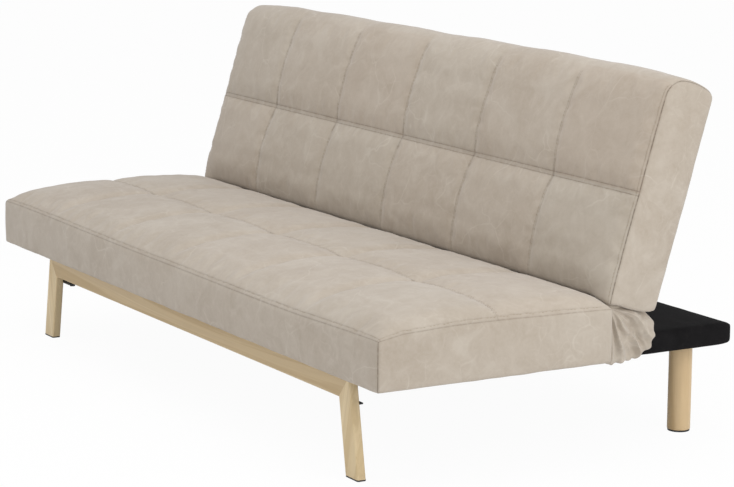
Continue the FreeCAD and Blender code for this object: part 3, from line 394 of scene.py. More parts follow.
def woodFinish(name, along, look=None, roughness=0.5, coarse=1.0, turn=0.0):
    # straight grain running along one axis, with slow bands, fine pores and faint flecks
    look = look or woodLook
    paint = Recipe(name)
    place = paint.place()
    if turn:
        mapping = paint.add("ShaderNodeMapping", None, {"Vector": place, "Rotation": (0, turn, 0)})
        place = paint.wire(mapping)
    scale = {"x": (0.9, 22, 22), "y": (22, 0.9, 22), "z": (22, 22, 0.9)}[along]
    fine = {"x": (7, 320, 320), "y": (320, 7, 320), "z": (320, 320, 7)}[along]
    bands = paint.cloud(paint.stretched(place, scale), coarse, 4, 0.55, 1.2)
    rings = paint.maths("SINE", bands * 34.0) * 0.5 + 0.5
    pores = paint.cloud(paint.stretched(place, fine), 1.0, 3, 0.6)
    flecks = paint.spread(pores, 0.60, 0.74)
    colour = paint.mix(paint.spread(bands, 0.3, 0.7), look["pale"], look["mid"])
    colour = paint.mix(rings * 0.30, colour, look["vein"])
    colour = paint.mix(flecks * 0.35, colour, look["vein"])
    paint.bump(rings * 0.3 + pores * 0.7, 0.0004, 0.35)
    wear = paint.spread(bands, 0.35, 0.75, roughness - 0.06, roughness + 0.08)
    return paint.set(Base_Color=colour, Roughness=wear, Specular_IOR_Level=0.4)


def metalFinish(name, colour, bright, roughness, metallic):
    paint = Recipe(name)
    place = paint.place()
    patch = paint.cloud(place, 60, 4, 0.6, 0.4)
    grit = paint.cloud(place, 1400, 2, 0.5)
    shade = paint.mix(paint.spread(patch, 0.3, 0.7), colour, bright)
    paint.bump(grit * 0.6 + patch * 0.4, 0.0003, 0.3)
    rough = paint.spread(patch, 0.3, 0.7, roughness - 0.08, roughness + 0.08)
    return paint.set(Base_Color=shade, Roughness=rough, Metallic=metallic)


def hardboardFinish():
    paint = Recipe("bare hardboard")
    place = paint.place()
    specks = paint.cloud(place, 240, 5, 0.7, 0.5)
    stops = [(0.3, srgb(88, 62, 42)), (0.55, srgb(122, 90, 62)), (0.8, srgb(150, 116, 84))]
    colour = paint.ramp(specks, stops)
    paint.bump(specks, 0.0005, 0.4)
    return paint.set(Base_Color=colour, Roughness=0.8)


blackSteel = metalFinish("black powder coat", srgb(22, 22, 23), srgb(36, 36, 37), 0.5, 0.0)
zincSteel = metalFinish("bright zinc", srgb(168, 170, 172), srgb(196, 198, 200), 0.34, 1.0)
blackMoulding = metalFinish("black moulding", srgb(20, 20, 21), srgb(32, 32, 33), 0.55, 0.0)
threadLook = threadFinish()
shelfCloth = blackClothFinish("black shelf cloth")
underCloth = blackClothFinish("black under cloth", 0.85)
pineLook = {"pale": srgb(224, 196, 150), "mid": srgb(210, 178, 128), "vein": srgb(184, 142, 92)}

dress(["front_leg_beam"], woodFinish("pale wood effect across", "x"))
for side, turn in (("left", -1), ("right", 1)):
    leanOfLeg = math.radians(10.23) * turn
    # the legs take the paler copy of the finish, painted light
    dress([f"front_leg_{side}"], woodFinish(f"pale wood effect {side} leg", "z", litLegLook, turn=-leanOfLeg))
turnedBeech = woodFinish("turned beech", "z", beechLook, coarse=0.8, roughness=0.42)
dress(["rear_leg_left", "rear_leg_right"], turnedBeech)
timberRails = [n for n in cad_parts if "rail" in n and "bracket" not in n]
dress(timberRails, woodFinish("planed pine", "x", pineLook, 0.62))
dress([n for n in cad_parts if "slat" in n], woodFinish("planed pine strip", "z", pineLook, 0.6))
dress(["shelf_top_board", "shelf_bottom_board"], hardboardFinish())
dress(["shelf_cover"], shelfCloth)
dress(["seat_dust_cloth", "back_rear_panel"], underCloth)
dress(["front_glide_left", "front_glide_right", "rear_leg_cap_left", "rear_leg_cap_right"], blackMoulding)
steelStarts = ("leg_bracket", "hinge_seat_arm", "hinge_back_arm", "hinge_pawl")
dress([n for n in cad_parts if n.startswith(steelStarts)], blackSteel)
dress(["bracket_foot_bolts"], blackSteel)
fixings = ["bracket_rail_screws", "bracket_beam_bolts", "rear_leg_bolts", "hinge_pins"]
fixings += ["hinge_seat_bolts", "hinge_back_bolts", "pawl_pins", "pawl_springs"]
dress(fixings, zincSteel)
print("finishes laid on the frame")


# ---------- padded seat

seat = {
    "half": 0.9,
    "front": -0.451,
    "depth": 0.543,
    "bottom": 0.211,
    "crown": 0.3575,
    "column": 0.3,
    "cells": (180, 54, 11),
    "frontSeam": [(-0.9, 0.316), (0.0, 0.3085), (0.5, 0.3055), (0.9, 0.3125)],
    "endSeam": [(0.0, 0.3135), (0.07, 0.3225), (0.17, 0.326), (0.27, 0.326), (0.41, 0.323), (0.543, 0.3215)],
    "rearSeam": 0.3335,
    "profile": [(0.0, 0.0), (0.005, 0.16), (0.017, 0.36), (0.036, 0.52), (0.062, 0.66),
                (0.10, 0.80), (0.15, 0.92),
                (0.20, 0.985), (0.27, 1.0), (0.34, 0.985), (0.40, 0.91), (0.45, 0.78), (0.49, 0.60),
                (0.52, 0.38), (0.543, 0.0)],
    "tuft": 0.0075,
    "frontBulge": 0.004,
    "endBulge": 0.003,
}


def seatEdgeHeight(x, setback):
    # the sewn outline of the top: front and rear seams, bent to the end seams towards both ends
    v = setback / seat["depth"]
    front = curveThrough(seat["frontSeam"], x)
    end = curveThrough(seat["endSeam"], setback)
    share = abs(x / seat["half"]) ** 24
    return (front * (1 - v) + seat["rearSeam"] * v) * (1 - share) + end * share


def seatTopHeight(x, setback):
    base = seatEdgeHeight(x, setback)
    across = math.sqrt(max(0.0, 1 - abs(x / seat["half"]) ** 14))
    along = curveThrough(seat["profile"], setback)
    height = base + (seat["crown"] - base) * across * along
    toSeam = abs(setback - seat["depth"] / 2)
    toCross = abs(x / seat["column"] - round(x / seat["column"])) * seat["column"]
    if abs(x) > 0.75:
        toCross = 0.15
    roundPanel = (1 - math.exp(-toSeam / 0.05)) * (1 - math.exp(-toCross / 0.05))
    height += 0.0045 * roundPanel * along * across
    height -= 0.0028 * math.exp(-(toSeam / 0.007) ** 2) * across
    height -= 0.0030 * math.exp(-(toCross / 0.016) ** 2) * min(1, along * 1.4) * across
    height -= seat["tuft"] * math.exp(-(toCross / 0.055) ** 1.5 - (toSeam / 0.045) ** 1.5) * across
    return height


def shapeSeat(piece):
    for vertex in piece.data.vertices:
        x, setback, level = vertex.co
        t = (level - 0.0) / 0.1
        top = seatTopHeight(x, setback)
        low = seat["bottom"]
        front = -seat["frontBulge"] * math.sin(math.pi * t) * (1 - abs(x / seat["half"]) ** 12)
        outward = seat["endBulge"] * math.sin(math.pi * t)
        outward *= math.sin(math.pi * min(1, setback / seat["depth"]))
        y = setback + front * max(0.0, 1 - setback / 0.03)
        share = max(0.0, abs(x) / seat["half"] - 0.97) / 0.03
        sideways = math.copysign(outward * share, x)
        vertex.co = (x + sideways, seat["front"] + y, low + (top - low) * t)


def makeSeat():
    half, depth = seat["half"], seat["depth"]
    piece = boxGrid("seatCushion", (-half, 0, 0), (half, depth, 0.1), seat["cells"])
    rememberFlat(piece)
    shapeSeat(piece)
    return piece


# ---------- padded back

back = {
    "half": 0.888,
    "foot": (0.0, 0.095, 0.335),
    "tilt": 17.0,
    "length": 0.455,
    "thick": 0.116,
    "seamHeight": 0.219,
    "column": 0.3,
    "cells": (178, 12, 46),
    "lowerCells": 22,
    "profile": [(0.0, 0.0), (0.012, 0.0085), (0.03, 0.0145), (0.06, 0.0195), (0.11, 0.0235),
                (0.17, 0.0225), (0.219, 0.0195),
                (0.27, 0.0225), (0.33, 0.0225), (0.385, 0.0185), (0.42, 0.0140), (0.443, 0.0110),
                (0.455, 0.0095)],
    "topBulge": 0.0205,
    "topBulgeEnds": 0.0115,
    "footBulge": 0.0085,
    "endBulge": 0.0085,
    "endDrop": 0.010,
    "tuft": 0.006,
    "frontTopRound": 0.030,
    "rearTopRound": 0.013,
    "rearFootRound": 0.006,
    "endTopRound": 0.008,
}
leanTurn = Matrix.Rotation(math.radians(-back["tilt"]), 3, "X")


def leaned(point):
    return leanTurn @ Vector(point) + Vector(back["foot"])


def backCrown(x, height):
    across = math.sqrt(max(0.0, 1 - abs(x / back["half"]) ** 8))
    crown = curveThrough(back["profile"], height) * (0.12 + 0.88 * across)
    toSeam = abs(height - back["seamHeight"])
    toCross = abs(x / back["column"] - round(x / back["column"])) * back["column"]
    if abs(x) > 0.75:
        toCross = 0.15
    inside = min(1, crown / 0.012)
    crown += 0.003 * (1 - math.exp(-toSeam / 0.05)) * (1 - math.exp(-toCross / 0.05)) * across * inside
    crown -= 0.0030 * math.exp(-(toSeam / 0.008) ** 2) * inside
    crown -= 0.0018 * math.exp(-(toCross / 0.014) ** 2) * inside
    crown -= back["tuft"] * math.exp(-(toCross / 0.05) ** 1.5 - (toSeam / 0.04) ** 1.5) * inside
    return crown


def roundCorner(depth, height, centreDepth, centreHeight, signDepth, signHeight, radius):
    # a square corner of the section drawn in to an arc
    a = (depth - centreDepth) * signDepth
    b = (height - centreHeight) * signHeight
    if a <= 0 or b <= 0:
        return depth, height
    reach = max(a, b)
    length = math.hypot(a, b)
    return centreDepth + signDepth * a * reach / length, centreHeight + signHeight * b * reach / length


def shapeBack(piece):
    half, thick, length = back["half"], back["thick"], back["length"]
    for vertex in piece.data.vertices:
        x, depth, height = vertex.co
        across = math.sqrt(max(0.0, 1 - abs(x / half) ** 8))
        forward = backCrown(x, height) * max(0.0, 1 - depth / thick) ** 2
        bow = back["endBulge"] * arch(height / length) ** 0.7 * arch(depth / thick)
        bow *= max(0.0, 1 - (half - abs(x)) / 0.012)
        over = depth / thick * 0.86 + 0.07
        wave = 1 + 0.07 * math.cos(x * 2 * math.pi / back["column"] + math.pi)
        wave += 0.05 * noise.noise(Vector((x * 5, 2.2, 0)))
        rise = (back["topBulgeEnds"] + (back["topBulge"] - back["topBulgeEnds"]) * across ** 3) * wave
        rise *= arch(over) ** 0.75 * max(0.0, (height - length * 0.8) / (length * 0.2)) ** 2
        sag = back["footBulge"] * arch(depth / thick) ** 0.8 * max(0.0, 1 - height / 0.05) ** 1.5
        endShare = min(1.0, max(0.0, (abs(x) - 0.80) / 0.07))
        drop = back["endDrop"] * endShare ** 2 * (3 - 2 * endShare)
        drop *= max(0.0, 1 - depth / 0.05) * max(0.0, 1 - height / 0.06) ** 1.5
        rise -= max(sag, drop)
        tuck = back["endTopRound"] * max(0.0, 1 - (half - abs(x)) / 0.03) ** 2
        tuck *= 1 - arch(depth / thick) * 0.55
        rise -= tuck * max(0.0, (height - length * 0.8) / (length * 0.2)) ** 2
        r = back["rearTopRound"]
        depth, height = roundCorner(depth, height, thick - r, length - r, 1, 1, r)
        r = back["rearFootRound"]
        depth, height = roundCorner(depth, height, thick - r, r, 1, -1, r)
        r = back["frontTopRound"]
        depth, height = roundCorner(depth, height, r, length - r, -1, 1, r)
        vertex.co = leaned((x + math.copysign(bow, x), depth - forward, height + rise))


def evenRun(value, low, middle, high, lowShare):
    # even cells on each side of a seam that doesn't lie half way
    share = (value - low) / (high - low)
    if share <= lowShare:
        return low + (middle - low) * share / lowShare
    return middle + (high - middle) * (share - lowShare) / (1 - lowShare)


def makeBack():
    half, thick, length = back["half"], back["thick"], back["length"]
    piece = boxGrid("backCushion", (-half, 0, 0), (half, thick, length), back["cells"])
    halfCells = back["cells"][0] / 2
    lowerShare = back["lowerCells"] / back["cells"][2]
    for vertex in piece.data.vertices:
        step = abs(vertex.co.x) / half * halfCells
        x = step * 0.01 if step <= 60 else 0.6 + (step - 60) * (half - 0.6) / (halfCells - 60)
        vertex.co.x = math.copysign(x, vertex.co.x)
        vertex.co.z = evenRun(vertex.co.z, 0, back["seamHeight"], length, lowerShare)
    rememberFlat(piece)
    shapeBack(piece)
    return piece


# ---------- the padding swells inside the sewn cover

padding = {
    "pressure": 4.0,
    "frames": 20,
    "seatLimit": 0.0045,
    "backLimit": 0.0032,
    "stretch": -0.012,
}


def heldBySeams(piece, flat, onSeam):
    group = piece.vertex_groups.new(name="sewn")
    held = [n for n, point in enumerate(flat) if onSeam(point)]
    group.add(held, 1.0, "REPLACE")
    return group.name


def seatSeam(point):
    x, setback, level = point
    if level < 0.097:
        return True
    onOutline = abs(x) > seat["half"] - 0.001 or setback < 0.001 or setback > seat["depth"] - 0.001
    onCross = abs(x) < 0.7 and abs(x / 0.3 - round(x / 0.3)) * 0.3 < 0.001
    return onOutline or onCross or abs(setback - seat["depth"] / 2) < 0.001


def backSeam(point):
    x, depth, height = point
    if depth > 0.001:
        return True
    onOutline = abs(x) > back["half"] - 0.001 or height < 0.001 or height > back["length"] - 0.018
    onCross = abs(x) < 0.7 and abs(x / 0.3 - round(x / 0.3)) * 0.3 < 0.001
    return onOutline or onCross or abs(height - back["seamHeight"]) < 0.001


def swell(pieces):
    scene = bpy.context.scene
    scene.frame_start, scene.frame_end = 1, padding["frames"]
    starts = {}
    for piece, onSeam, limit in pieces:
        starts[piece.name] = [vertex.co.copy() for vertex in piece.data.vertices]
        groupName = heldBySeams(piece, flatOf(piece), onSeam)
        cloth = piece.modifiers.new("Cloth", "CLOTH")
        settings = cloth.settings
        settings.quality = 4
        settings.mass = 0.25
        settings.tension_stiffness = 12
        settings.compression_stiffness = 12
        settings.shear_stiffness = 4
        settings.bending_stiffness = 0.6
        settings.vertex_group_mass = groupName
        settings.pin_stiffness = 1
        settings.use_pressure = True
        settings.uniform_pressure_force = padding["pressure"]
        settings.shrink_min = padding["stretch"]
        settings.effector_weights.gravity = 0
        cloth.collision_settings.use_collision = False
        cloth.point_cache.frame_start = 1
        cloth.point_cache.frame_end = padding["frames"]
    for number in range(1, padding["frames"] + 1):
        scene.frame_set(number)
    shapes = {}
    depsgraph = bpy.context.evaluated_depsgraph_get()
    for piece, onSeam, limit in pieces:
        shaped = piece.evaluated_get(depsgraph).to_mesh()
        shapes[piece.name] = [vertex.co.copy() for vertex in shaped.vertices]
        piece.evaluated_get(depsgraph).to_mesh_clear()
    for piece, onSeam, limit in pieces:
        piece.modifiers.clear()
        largest = 0
        for vertex, start, end in zip(piece.data.vertices, starts[piece.name], shapes[piece.name]):
            move = end - start
            largest = max(largest, move.length)
            if move.length > limit:
                move *= limit / move.length
            vertex.co = start + move
        print(piece.name, "swelled by up to", round(largest * 1000, 1), "mm, held to", limit * 1000)
    scene.frame_set(1)


def smoothOnce(piece):
    makeActive(piece)
    modifier = piece.modifiers.new("Subdivision", "SUBSURF")
    modifier.levels = 1
    modifier.render_levels = 1
    applyAll(piece)
    bpy.ops.object.shade_smooth()


def pucker(piece, seamsNear):
    # short gathers that run square to the stitching and die away from it
    flat = flatOf(piece)
    piece.data.update()
    normals = [vertex.normal.copy() for vertex in piece.data.vertices]
    for vertex, point, normal in zip(piece.data.vertices, flat, normals):
        move = 0.0006 * noise.noise(point * 34) + 0.0011 * noise.noise(point * 11)
        for distance, along, depth in seamsNear(point):
            if distance < 0.06:
                wave = noise.noise(Vector((along * 60, distance * 12, 3.1)))
                move += depth * wave * math.exp(-distance / 0.018) * min(1, distance / 0.004)
        vertex.co += normal * move


def seatSeamsNear(point):
    x, setback, level = point
    if level > 0.099:
        yield setback, x, 0.0022
        yield seat["half"] - abs(x), setback, 0.0020
        yield abs(setback - seat["depth"] / 2), x + 5, 0.0022
        if abs(x) < 0.75:
            yield abs(x / 0.3 - round(x / 0.3)) * 0.3, setback + round(x / 0.3) * 3, 0.0012
    elif setback < 0.001 or abs(x) > seat["half"] - 0.001:
        yield 0.1 - level, x + setback * 2, 0.0010
        yield level, x * 1.3 + setback + 9, 0.0009


def backSeamsNear(point):
    x, depth, height = point
    if depth < 0.001:
        yield abs(height - back["seamHeight"]), x, 0.0024
        yield back["half"] - abs(x), height, 0.0016
        yield height, x + 7, 0.0022
        if abs(x) < 0.75:
            yield abs(x / 0.3 - round(x / 0.3)) * 0.3, height + round(x / 0.3) * 3, 0.0022
    elif abs(x) > back["half"] - 0.001:
        yield depth, height + 4, 0.0010


def hollowOut(piece, boxes, turn=None):
    # room for the frame, cut out of the padding from below or behind
    flat = flatOf(piece)
    before = KDTree(len(flat))
    for number, vertex in enumerate(piece.data.vertices):
        before.insert(vertex.co, number)
    before.balance()
    for number, (low, high) in enumerate(boxes):
        deselectAll()
        middle = [(a + b) / 2 for a, b in zip(low, high)]
        bpy.ops.mesh.primitive_cube_add(size=1, location=middle)
        cutter = bpy.context.object
        cutter.name = f"{piece.name}Room{number}"
        cutter.scale = [b - a for a, b in zip(low, high)]
        bpy.ops.object.transform_apply(location=True, rotation=False, scale=True)
        cutter.data.materials.append(underCloth)
        if turn:
            for vertex in cutter.data.vertices:
                vertex.co = turn(vertex.co)
        makeActive(piece)
        modifier = piece.modifiers.new("Room", "BOOLEAN")
        modifier.object = cutter
        modifier.operation = "DIFFERENCE"
        modifier.solver = "EXACT"
        modifier.material_mode = "TRANSFER"
        bpy.ops.object.modifier_apply(modifier=modifier.name)
        bpy.data.objects.remove(cutter)
    if "flat" in piece.data.attributes:
        piece.data.attributes.remove(piece.data.attributes["flat"])
    points = piece.data.attributes.new("flat", "FLOAT_VECTOR", "POINT")
    for vertex, point in zip(piece.data.vertices, points.data):
        point.vector = flat[before.find(vertex.co)[1]]


# ---------- stitching

stitch = {"length": 0.0054, "gap": 0.0022, "thread": 0.00042, "proud": 0.0003, "inset": 0.0065}


def runOfStitches(points):
    # short lengths of thread along a line of points laid on the cover
    runs = []
    walked = 0.0
    pitch = stitch["length"] + stitch["gap"]
    current = []
    for start, end in zip(points, points[1:]):
        length = (end[0] - start[0]).length
        steps = max(1, int(length / 0.0014))
        for n in range(steps):
            t = n / steps
            place = start[0].lerp(end[0], t)
            normal = start[1].lerp(end[1], t).normalized()
            phase = (walked + length * t) % pitch
            if phase < stitch["length"]:
                sink = math.sin(math.pi * phase / stitch["length"]) ** 0.5 if phase > 0 else 0
                current.append(place + normal * (stitch["proud"] * (2.2 * sink - 1.4)))
            elif current:
                runs.append(current)
                current = []
        walked += length
    return [run for run in runs if len(run) > 2]


def castLine(tree, origins, direction):
    found = []
    for origin in origins:
        place, normal, index, distance = tree.ray_cast(origin, direction)
        if place is not None:
            found.append((place, normal))
    return found


def sewStitches(name, runs):
    curve = bpy.data.curves.new(name, "CURVE")
    curve.dimensions = "3D"
    curve.bevel_depth = stitch["thread"]
    curve.bevel_resolution = 0
    curve.use_fill_caps = True
    for run in runs:
        chosen = [run[0], run[len(run) // 2], run[-1]]
        spline = curve.splines.new("POLY")
        spline.points.add(len(chosen) - 1)
        for point, place in zip(spline.points, chosen):
            point.co = (*place, 1)
    piece = bpy.data.objects.new(name, curve)
    bpy.context.collection.objects.link(piece)
    makeActive(piece)
    bpy.ops.object.convert(target="MESH")
    piece = bpy.context.object
    piece.data.materials.clear()
    piece.data.materials.append(threadLook)
    bpy.ops.object.shade_smooth()
    return piece


def spaced(low, high, step=0.004):
    count = max(2, int((high - low) / step))
    return [low + (high - low) * n / count for n in range(count + 1)]


def stitchSeat(cushion):
    tree = BVHTree.FromObject(cushion, bpy.context.evaluated_depsgraph_get())
    half, front, depth = seat["half"], seat["front"], seat["depth"]
    down, high = Vector((0, 0, -1)), 0.5
    runs = []
    inset = stitch["inset"]
    places = [(x, front + inset, high) for x in spaced(-half + inset, half - inset)]
    runs += runOfStitches(castLine(tree, places, down))
    for sign in (-1, 1):
        places = [(sign * (half - inset), front + y, high) for y in spaced(inset, depth - 0.03)]
        runs += runOfStitches(castLine(tree, places, down))
    for offset in (-0.0032, 0.0032):
        places = [(x, front + depth / 2 + offset, high) for x in spaced(-half + 0.004, half - 0.004)]
        runs += runOfStitches(castLine(tree, places, down))
    return sewStitches("seatStitching", runs)


def stitchBack(cushion):
    tree = BVHTree.FromObject(cushion, bpy.context.evaluated_depsgraph_get())
    half, length = back["half"], back["length"]
    inward = leanTurn @ Vector((0, 1, 0))
    runs = []

    def onFace(points):
        return castLine(tree, [leaned((x, -0.1, height)) for x, height in points], inward)

    for offset in (-0.0048, 0.0048):
        height = back["seamHeight"] + offset
        runs += runOfStitches(onFace([(x, height) for x in spaced(-half + 0.003, half - 0.003)]))
    for column in range(-2, 3):
        for offset in (-0.0026, 0.0026):
            x = column * back["column"] + offset
            lower = spaced(0.012, back["seamHeight"] - 0.006)
            upper = spaced(back["seamHeight"] + 0.006, length - 0.02)
            runs += runOfStitches(onFace([(x, h) for h in lower]))
            runs += runOfStitches(onFace([(x, h) for h in upper]))
    for sign in (-1, 1):
        x = sign * (half - stitch["inset"])
        runs += runOfStitches(onFace([(x, h) for h in spaced(0.006, length - 0.012)]))
    return sewStitches("backStitching", runs)


def seatSeamLines(paint, flat):
    # distance to the seam, how dark its painted shade is, half its width
    x, setback, level = flat
    half, depth = seat["half"], seat["depth"]
    below = 0.1 - level
    offTop = below * 1000.0
    toEnd = half - abs(x)
    middle = abs(setback - depth / 2)
    toCross = abs(paint.maths("WRAP", x, -0.15, 0.15)) + (abs(x) - 0.7).atLeast(0) * 1000.0
    dash = (toCross - 0.026).atLeast(0) * 3.0
    return [
        (setback + below, 0.34, 0.0019),
        ((setback - 0.0065) + offTop, 0.26, 0.0016),
        (toEnd + below, 0.28, 0.0017),
        ((toEnd - 0.0065) + offTop, 0.14, 0.0015),
        # painted shadow down the front corner, where the front and end panels meet
        ((toEnd + setback) * 0.8, 0.55, 0.0019),
        (middle + offTop, 0.20, 0.0017),
        (middle + dash + offTop, 0.36, 0.0026),
    ]


def backSeamLines(paint, flat):
    # distance to the seam, how dark its painted shade is, half its width
    x, depth, height = flat
    half, length = back["half"], back["length"]
    offFace = depth * 1000.0
    toEnd = half - abs(x)
    toCross = abs(paint.maths("WRAP", x, -0.15, 0.15))
    beyond = (abs(x) - 0.7).atLeast(0) * 1000.0
    fromMiddle = abs(height - back["seamHeight"])
    underTop = (height - (length - 0.018)).atLeast(0) * 1000.0
    return [
        ((fromMiddle - 0.0045) + offFace, 0.42, 0.0017),
        # a wide faint band of painted shade along the middle seam's groove
        (fromMiddle + offFace, 0.10, 0.0050),
        ((toCross - 0.0024) + offFace + beyond + underTop, 0.20, 0.0016),
        # painted shade along the vertical seams, strongest near the tufts at the crossings
        (toCross + offFace + beyond + (fromMiddle - 0.03).atLeast(0) * 4.0, 0.26, 0.0032),
        (toEnd + depth, 0.66, 0.0019),
        ((toEnd - 0.0060) + offFace, 0.24, 0.0015),
        (toEnd + (length - height), 0.58, 0.0019),
    ]


seatSuede = suedeCloth("sand suede seat", seatSeamLines, (1, 0.2715, 2, 0.1), 0.07)
backSuede = suedeCloth("sand suede back", backSeamLines, (2, 0.219, 1, 0.0), 0.20)
plainSuede = suedeCloth("sand suede gathered")

seatCushion = makeSeat()
backCushion = makeBack()
print("cushions shaped", len(seatCushion.data.vertices), len(backCushion.data.vertices))
swell([(seatCushion, seatSeam, padding["seatLimit"]), (backCushion, backSeam, padding["backLimit"])])
for piece, near, suede in ((seatCushion, seatSeamsNear, seatSuede), (backCushion, backSeamsNear, backSuede)):
    smoothOnce(piece)
    pucker(piece, near)
    piece.data.materials.clear()
    piece.data.materials.append(suede)

seatStitching = stitchSeat(seatCushion)
backStitching = stitchBack(backCushion)
hollowOut(seatCushion, [((-0.821, seat["front"] + 0.038, 0.15), (0.821, seat["front"] + 0.60, 0.2415))])
hollowOut(
    backCushion,
    [
        ((-0.824, 0.074, 0.020), (0.824, 0.2, 0.439)),
        ((-0.824, 0.004, -0.05), (-0.804, 0.2, 0.080)),
        ((0.804, 0.004, -0.05), (0.824, 0.2, 0.080)),
    ],
    leaned,
)
print("cushions sewn", len(seatCushion.data.polygons), len(backCushion.data.polygons))

for piece, body, node in ((seatCushion, "frame", "seat_cushion"), (backCushion, "backrest", "back_cushion")):
    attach(piece, body)
    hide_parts(node)
for piece, body in ((seatStitching, "frame"), (backStitching, "backrest")):
    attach(piece, body)


# ---------- black cloth drawn over thin wadding round the shelf

shelf = {
    "proud": 0.0065,
    "rearProud": 0.0095,
    "lift": 0.0003,
    "edge": 0.0065,
    "wrinkle": 0.0011,
    "wall": 0.0016,
    "cells": (150, 16, 5),
}


def makeShelf():
    low, high = (Vector(corner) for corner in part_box("shelf_cover"))
    low -= Vector((shelf["proud"], 0, 0.0))
    high += Vector((shelf["proud"], shelf["rearProud"], shelf["lift"]))
    piece = boxGrid("shelfCloth", low, high, shelf["cells"])
    middle, reach = (low + high) / 2, (high - low) / 2
    edge = shelf["edge"]
    for vertex in piece.data.vertices:
        point = vertex.co - middle
        inner = Vector([max(-(r - edge), min(r - edge, p)) for p, r in zip(point, reach)])
        inner.y = max(-reach.y, inner.y) if point.y > 0 else point.y
        past = point - inner
        if past.length > 1e-6:
            point = inner + past.normalized() * max(abs(v) for v in past)
        vertex.co = middle + point
    rememberFlat(piece)
    smoothOnce(piece)
    for vertex in piece.data.vertices:
        point = vertex.co - middle
        alongX, alongY = point.x / reach.x, point.y / reach.y
        corner = max(0.0, abs(alongX) - 0.93) / 0.07
        crease = noise.noise(Vector((point.x * 26, point.y * 40, point.z * 30))) * (0.45 + corner)
        fold = noise.noise(Vector((point.x * 9, point.y * 70, 2.0))) * max(0.0, alongY) ** 2
        rise = shelf["wrinkle"] * (crease + 0.6 * fold)
        if point.z > 0:
            vertex.co.z += min(0.0009, max(0.0, rise))
        else:
            vertex.co.z -= rise * 0.4
        if point.z < 0:
            nearCorner = max(0.0, 1 - abs(abs(point.x) - reach.x + 0.02) / 0.012)
            vertex.co.z -= 0.0035 * nearCorner * max(0.0, alongY) ** 8
        vertex.co.x += shelf["wrinkle"] * 0.6 * crease * (abs(alongX) > 0.995)
    wall = shelf["wall"] + shelf["proud"]
    roomLow = low + Vector((wall, -0.05, shelf["wall"]))
    roomHigh = high - Vector((wall, wall + 0.003, shelf["wall"] + shelf["lift"]))
    hollowOut(piece, [(roomLow, roomHigh)])
    piece.data.materials.clear()
    piece.data.materials.append(shelfCloth)
    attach(piece, "frame")
    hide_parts("shelf_cover")


makeShelf()
print("shelf covered")


# ---------- gathered covers over the hinges

ruffle = {
    "inner": 0.828,
    "outer": 0.892,
    "front": 0.0925,
    "outline": [(0.545, 0.331), (0.573, 0.321), (0.605, 0.313), (0.640, 0.303), (0.659, 0.290),
                (0.664, 0.266), (0.664, 0.244),
                (0.660, 0.226), (0.646, 0.214), (0.622, 0.206), (0.600, 0.205), (0.580, 0.203),
                (0.562, 0.199), (0.548, 0.204),
                (0.5445, 0.235), (0.5440, 0.265), (0.5440, 0.295)],
    "gather": (0.552, 0.318),
    "middle": (0.603, 0.262),
    "folds": 15.0,
    "foldDepth": 0.0125,
}


def ruffleRim(angle):
    # how far the outline lies from the middle in a direction, on straight runs between its points
    middle = Vector(ruffle["middle"])
    heading = Vector((math.cos(angle), math.sin(angle)))
    points = [Vector(p) for p in ruffle["outline"]]
    best = 0.02
    for a, b in zip(points, points[1:] + points[:1]):
        side = b - a
        cross = heading.x * side.y - heading.y * side.x
        if abs(cross) < 1e-9:
            continue
        gap = a - middle
        reach = (gap.x * side.y - gap.y * side.x) / cross
        share = (gap.x * heading.y - gap.y * heading.x) / cross
        if reach > 0 and -1e-6 <= share <= 1 + 1e-6:
            best = max(best, reach)
    return best


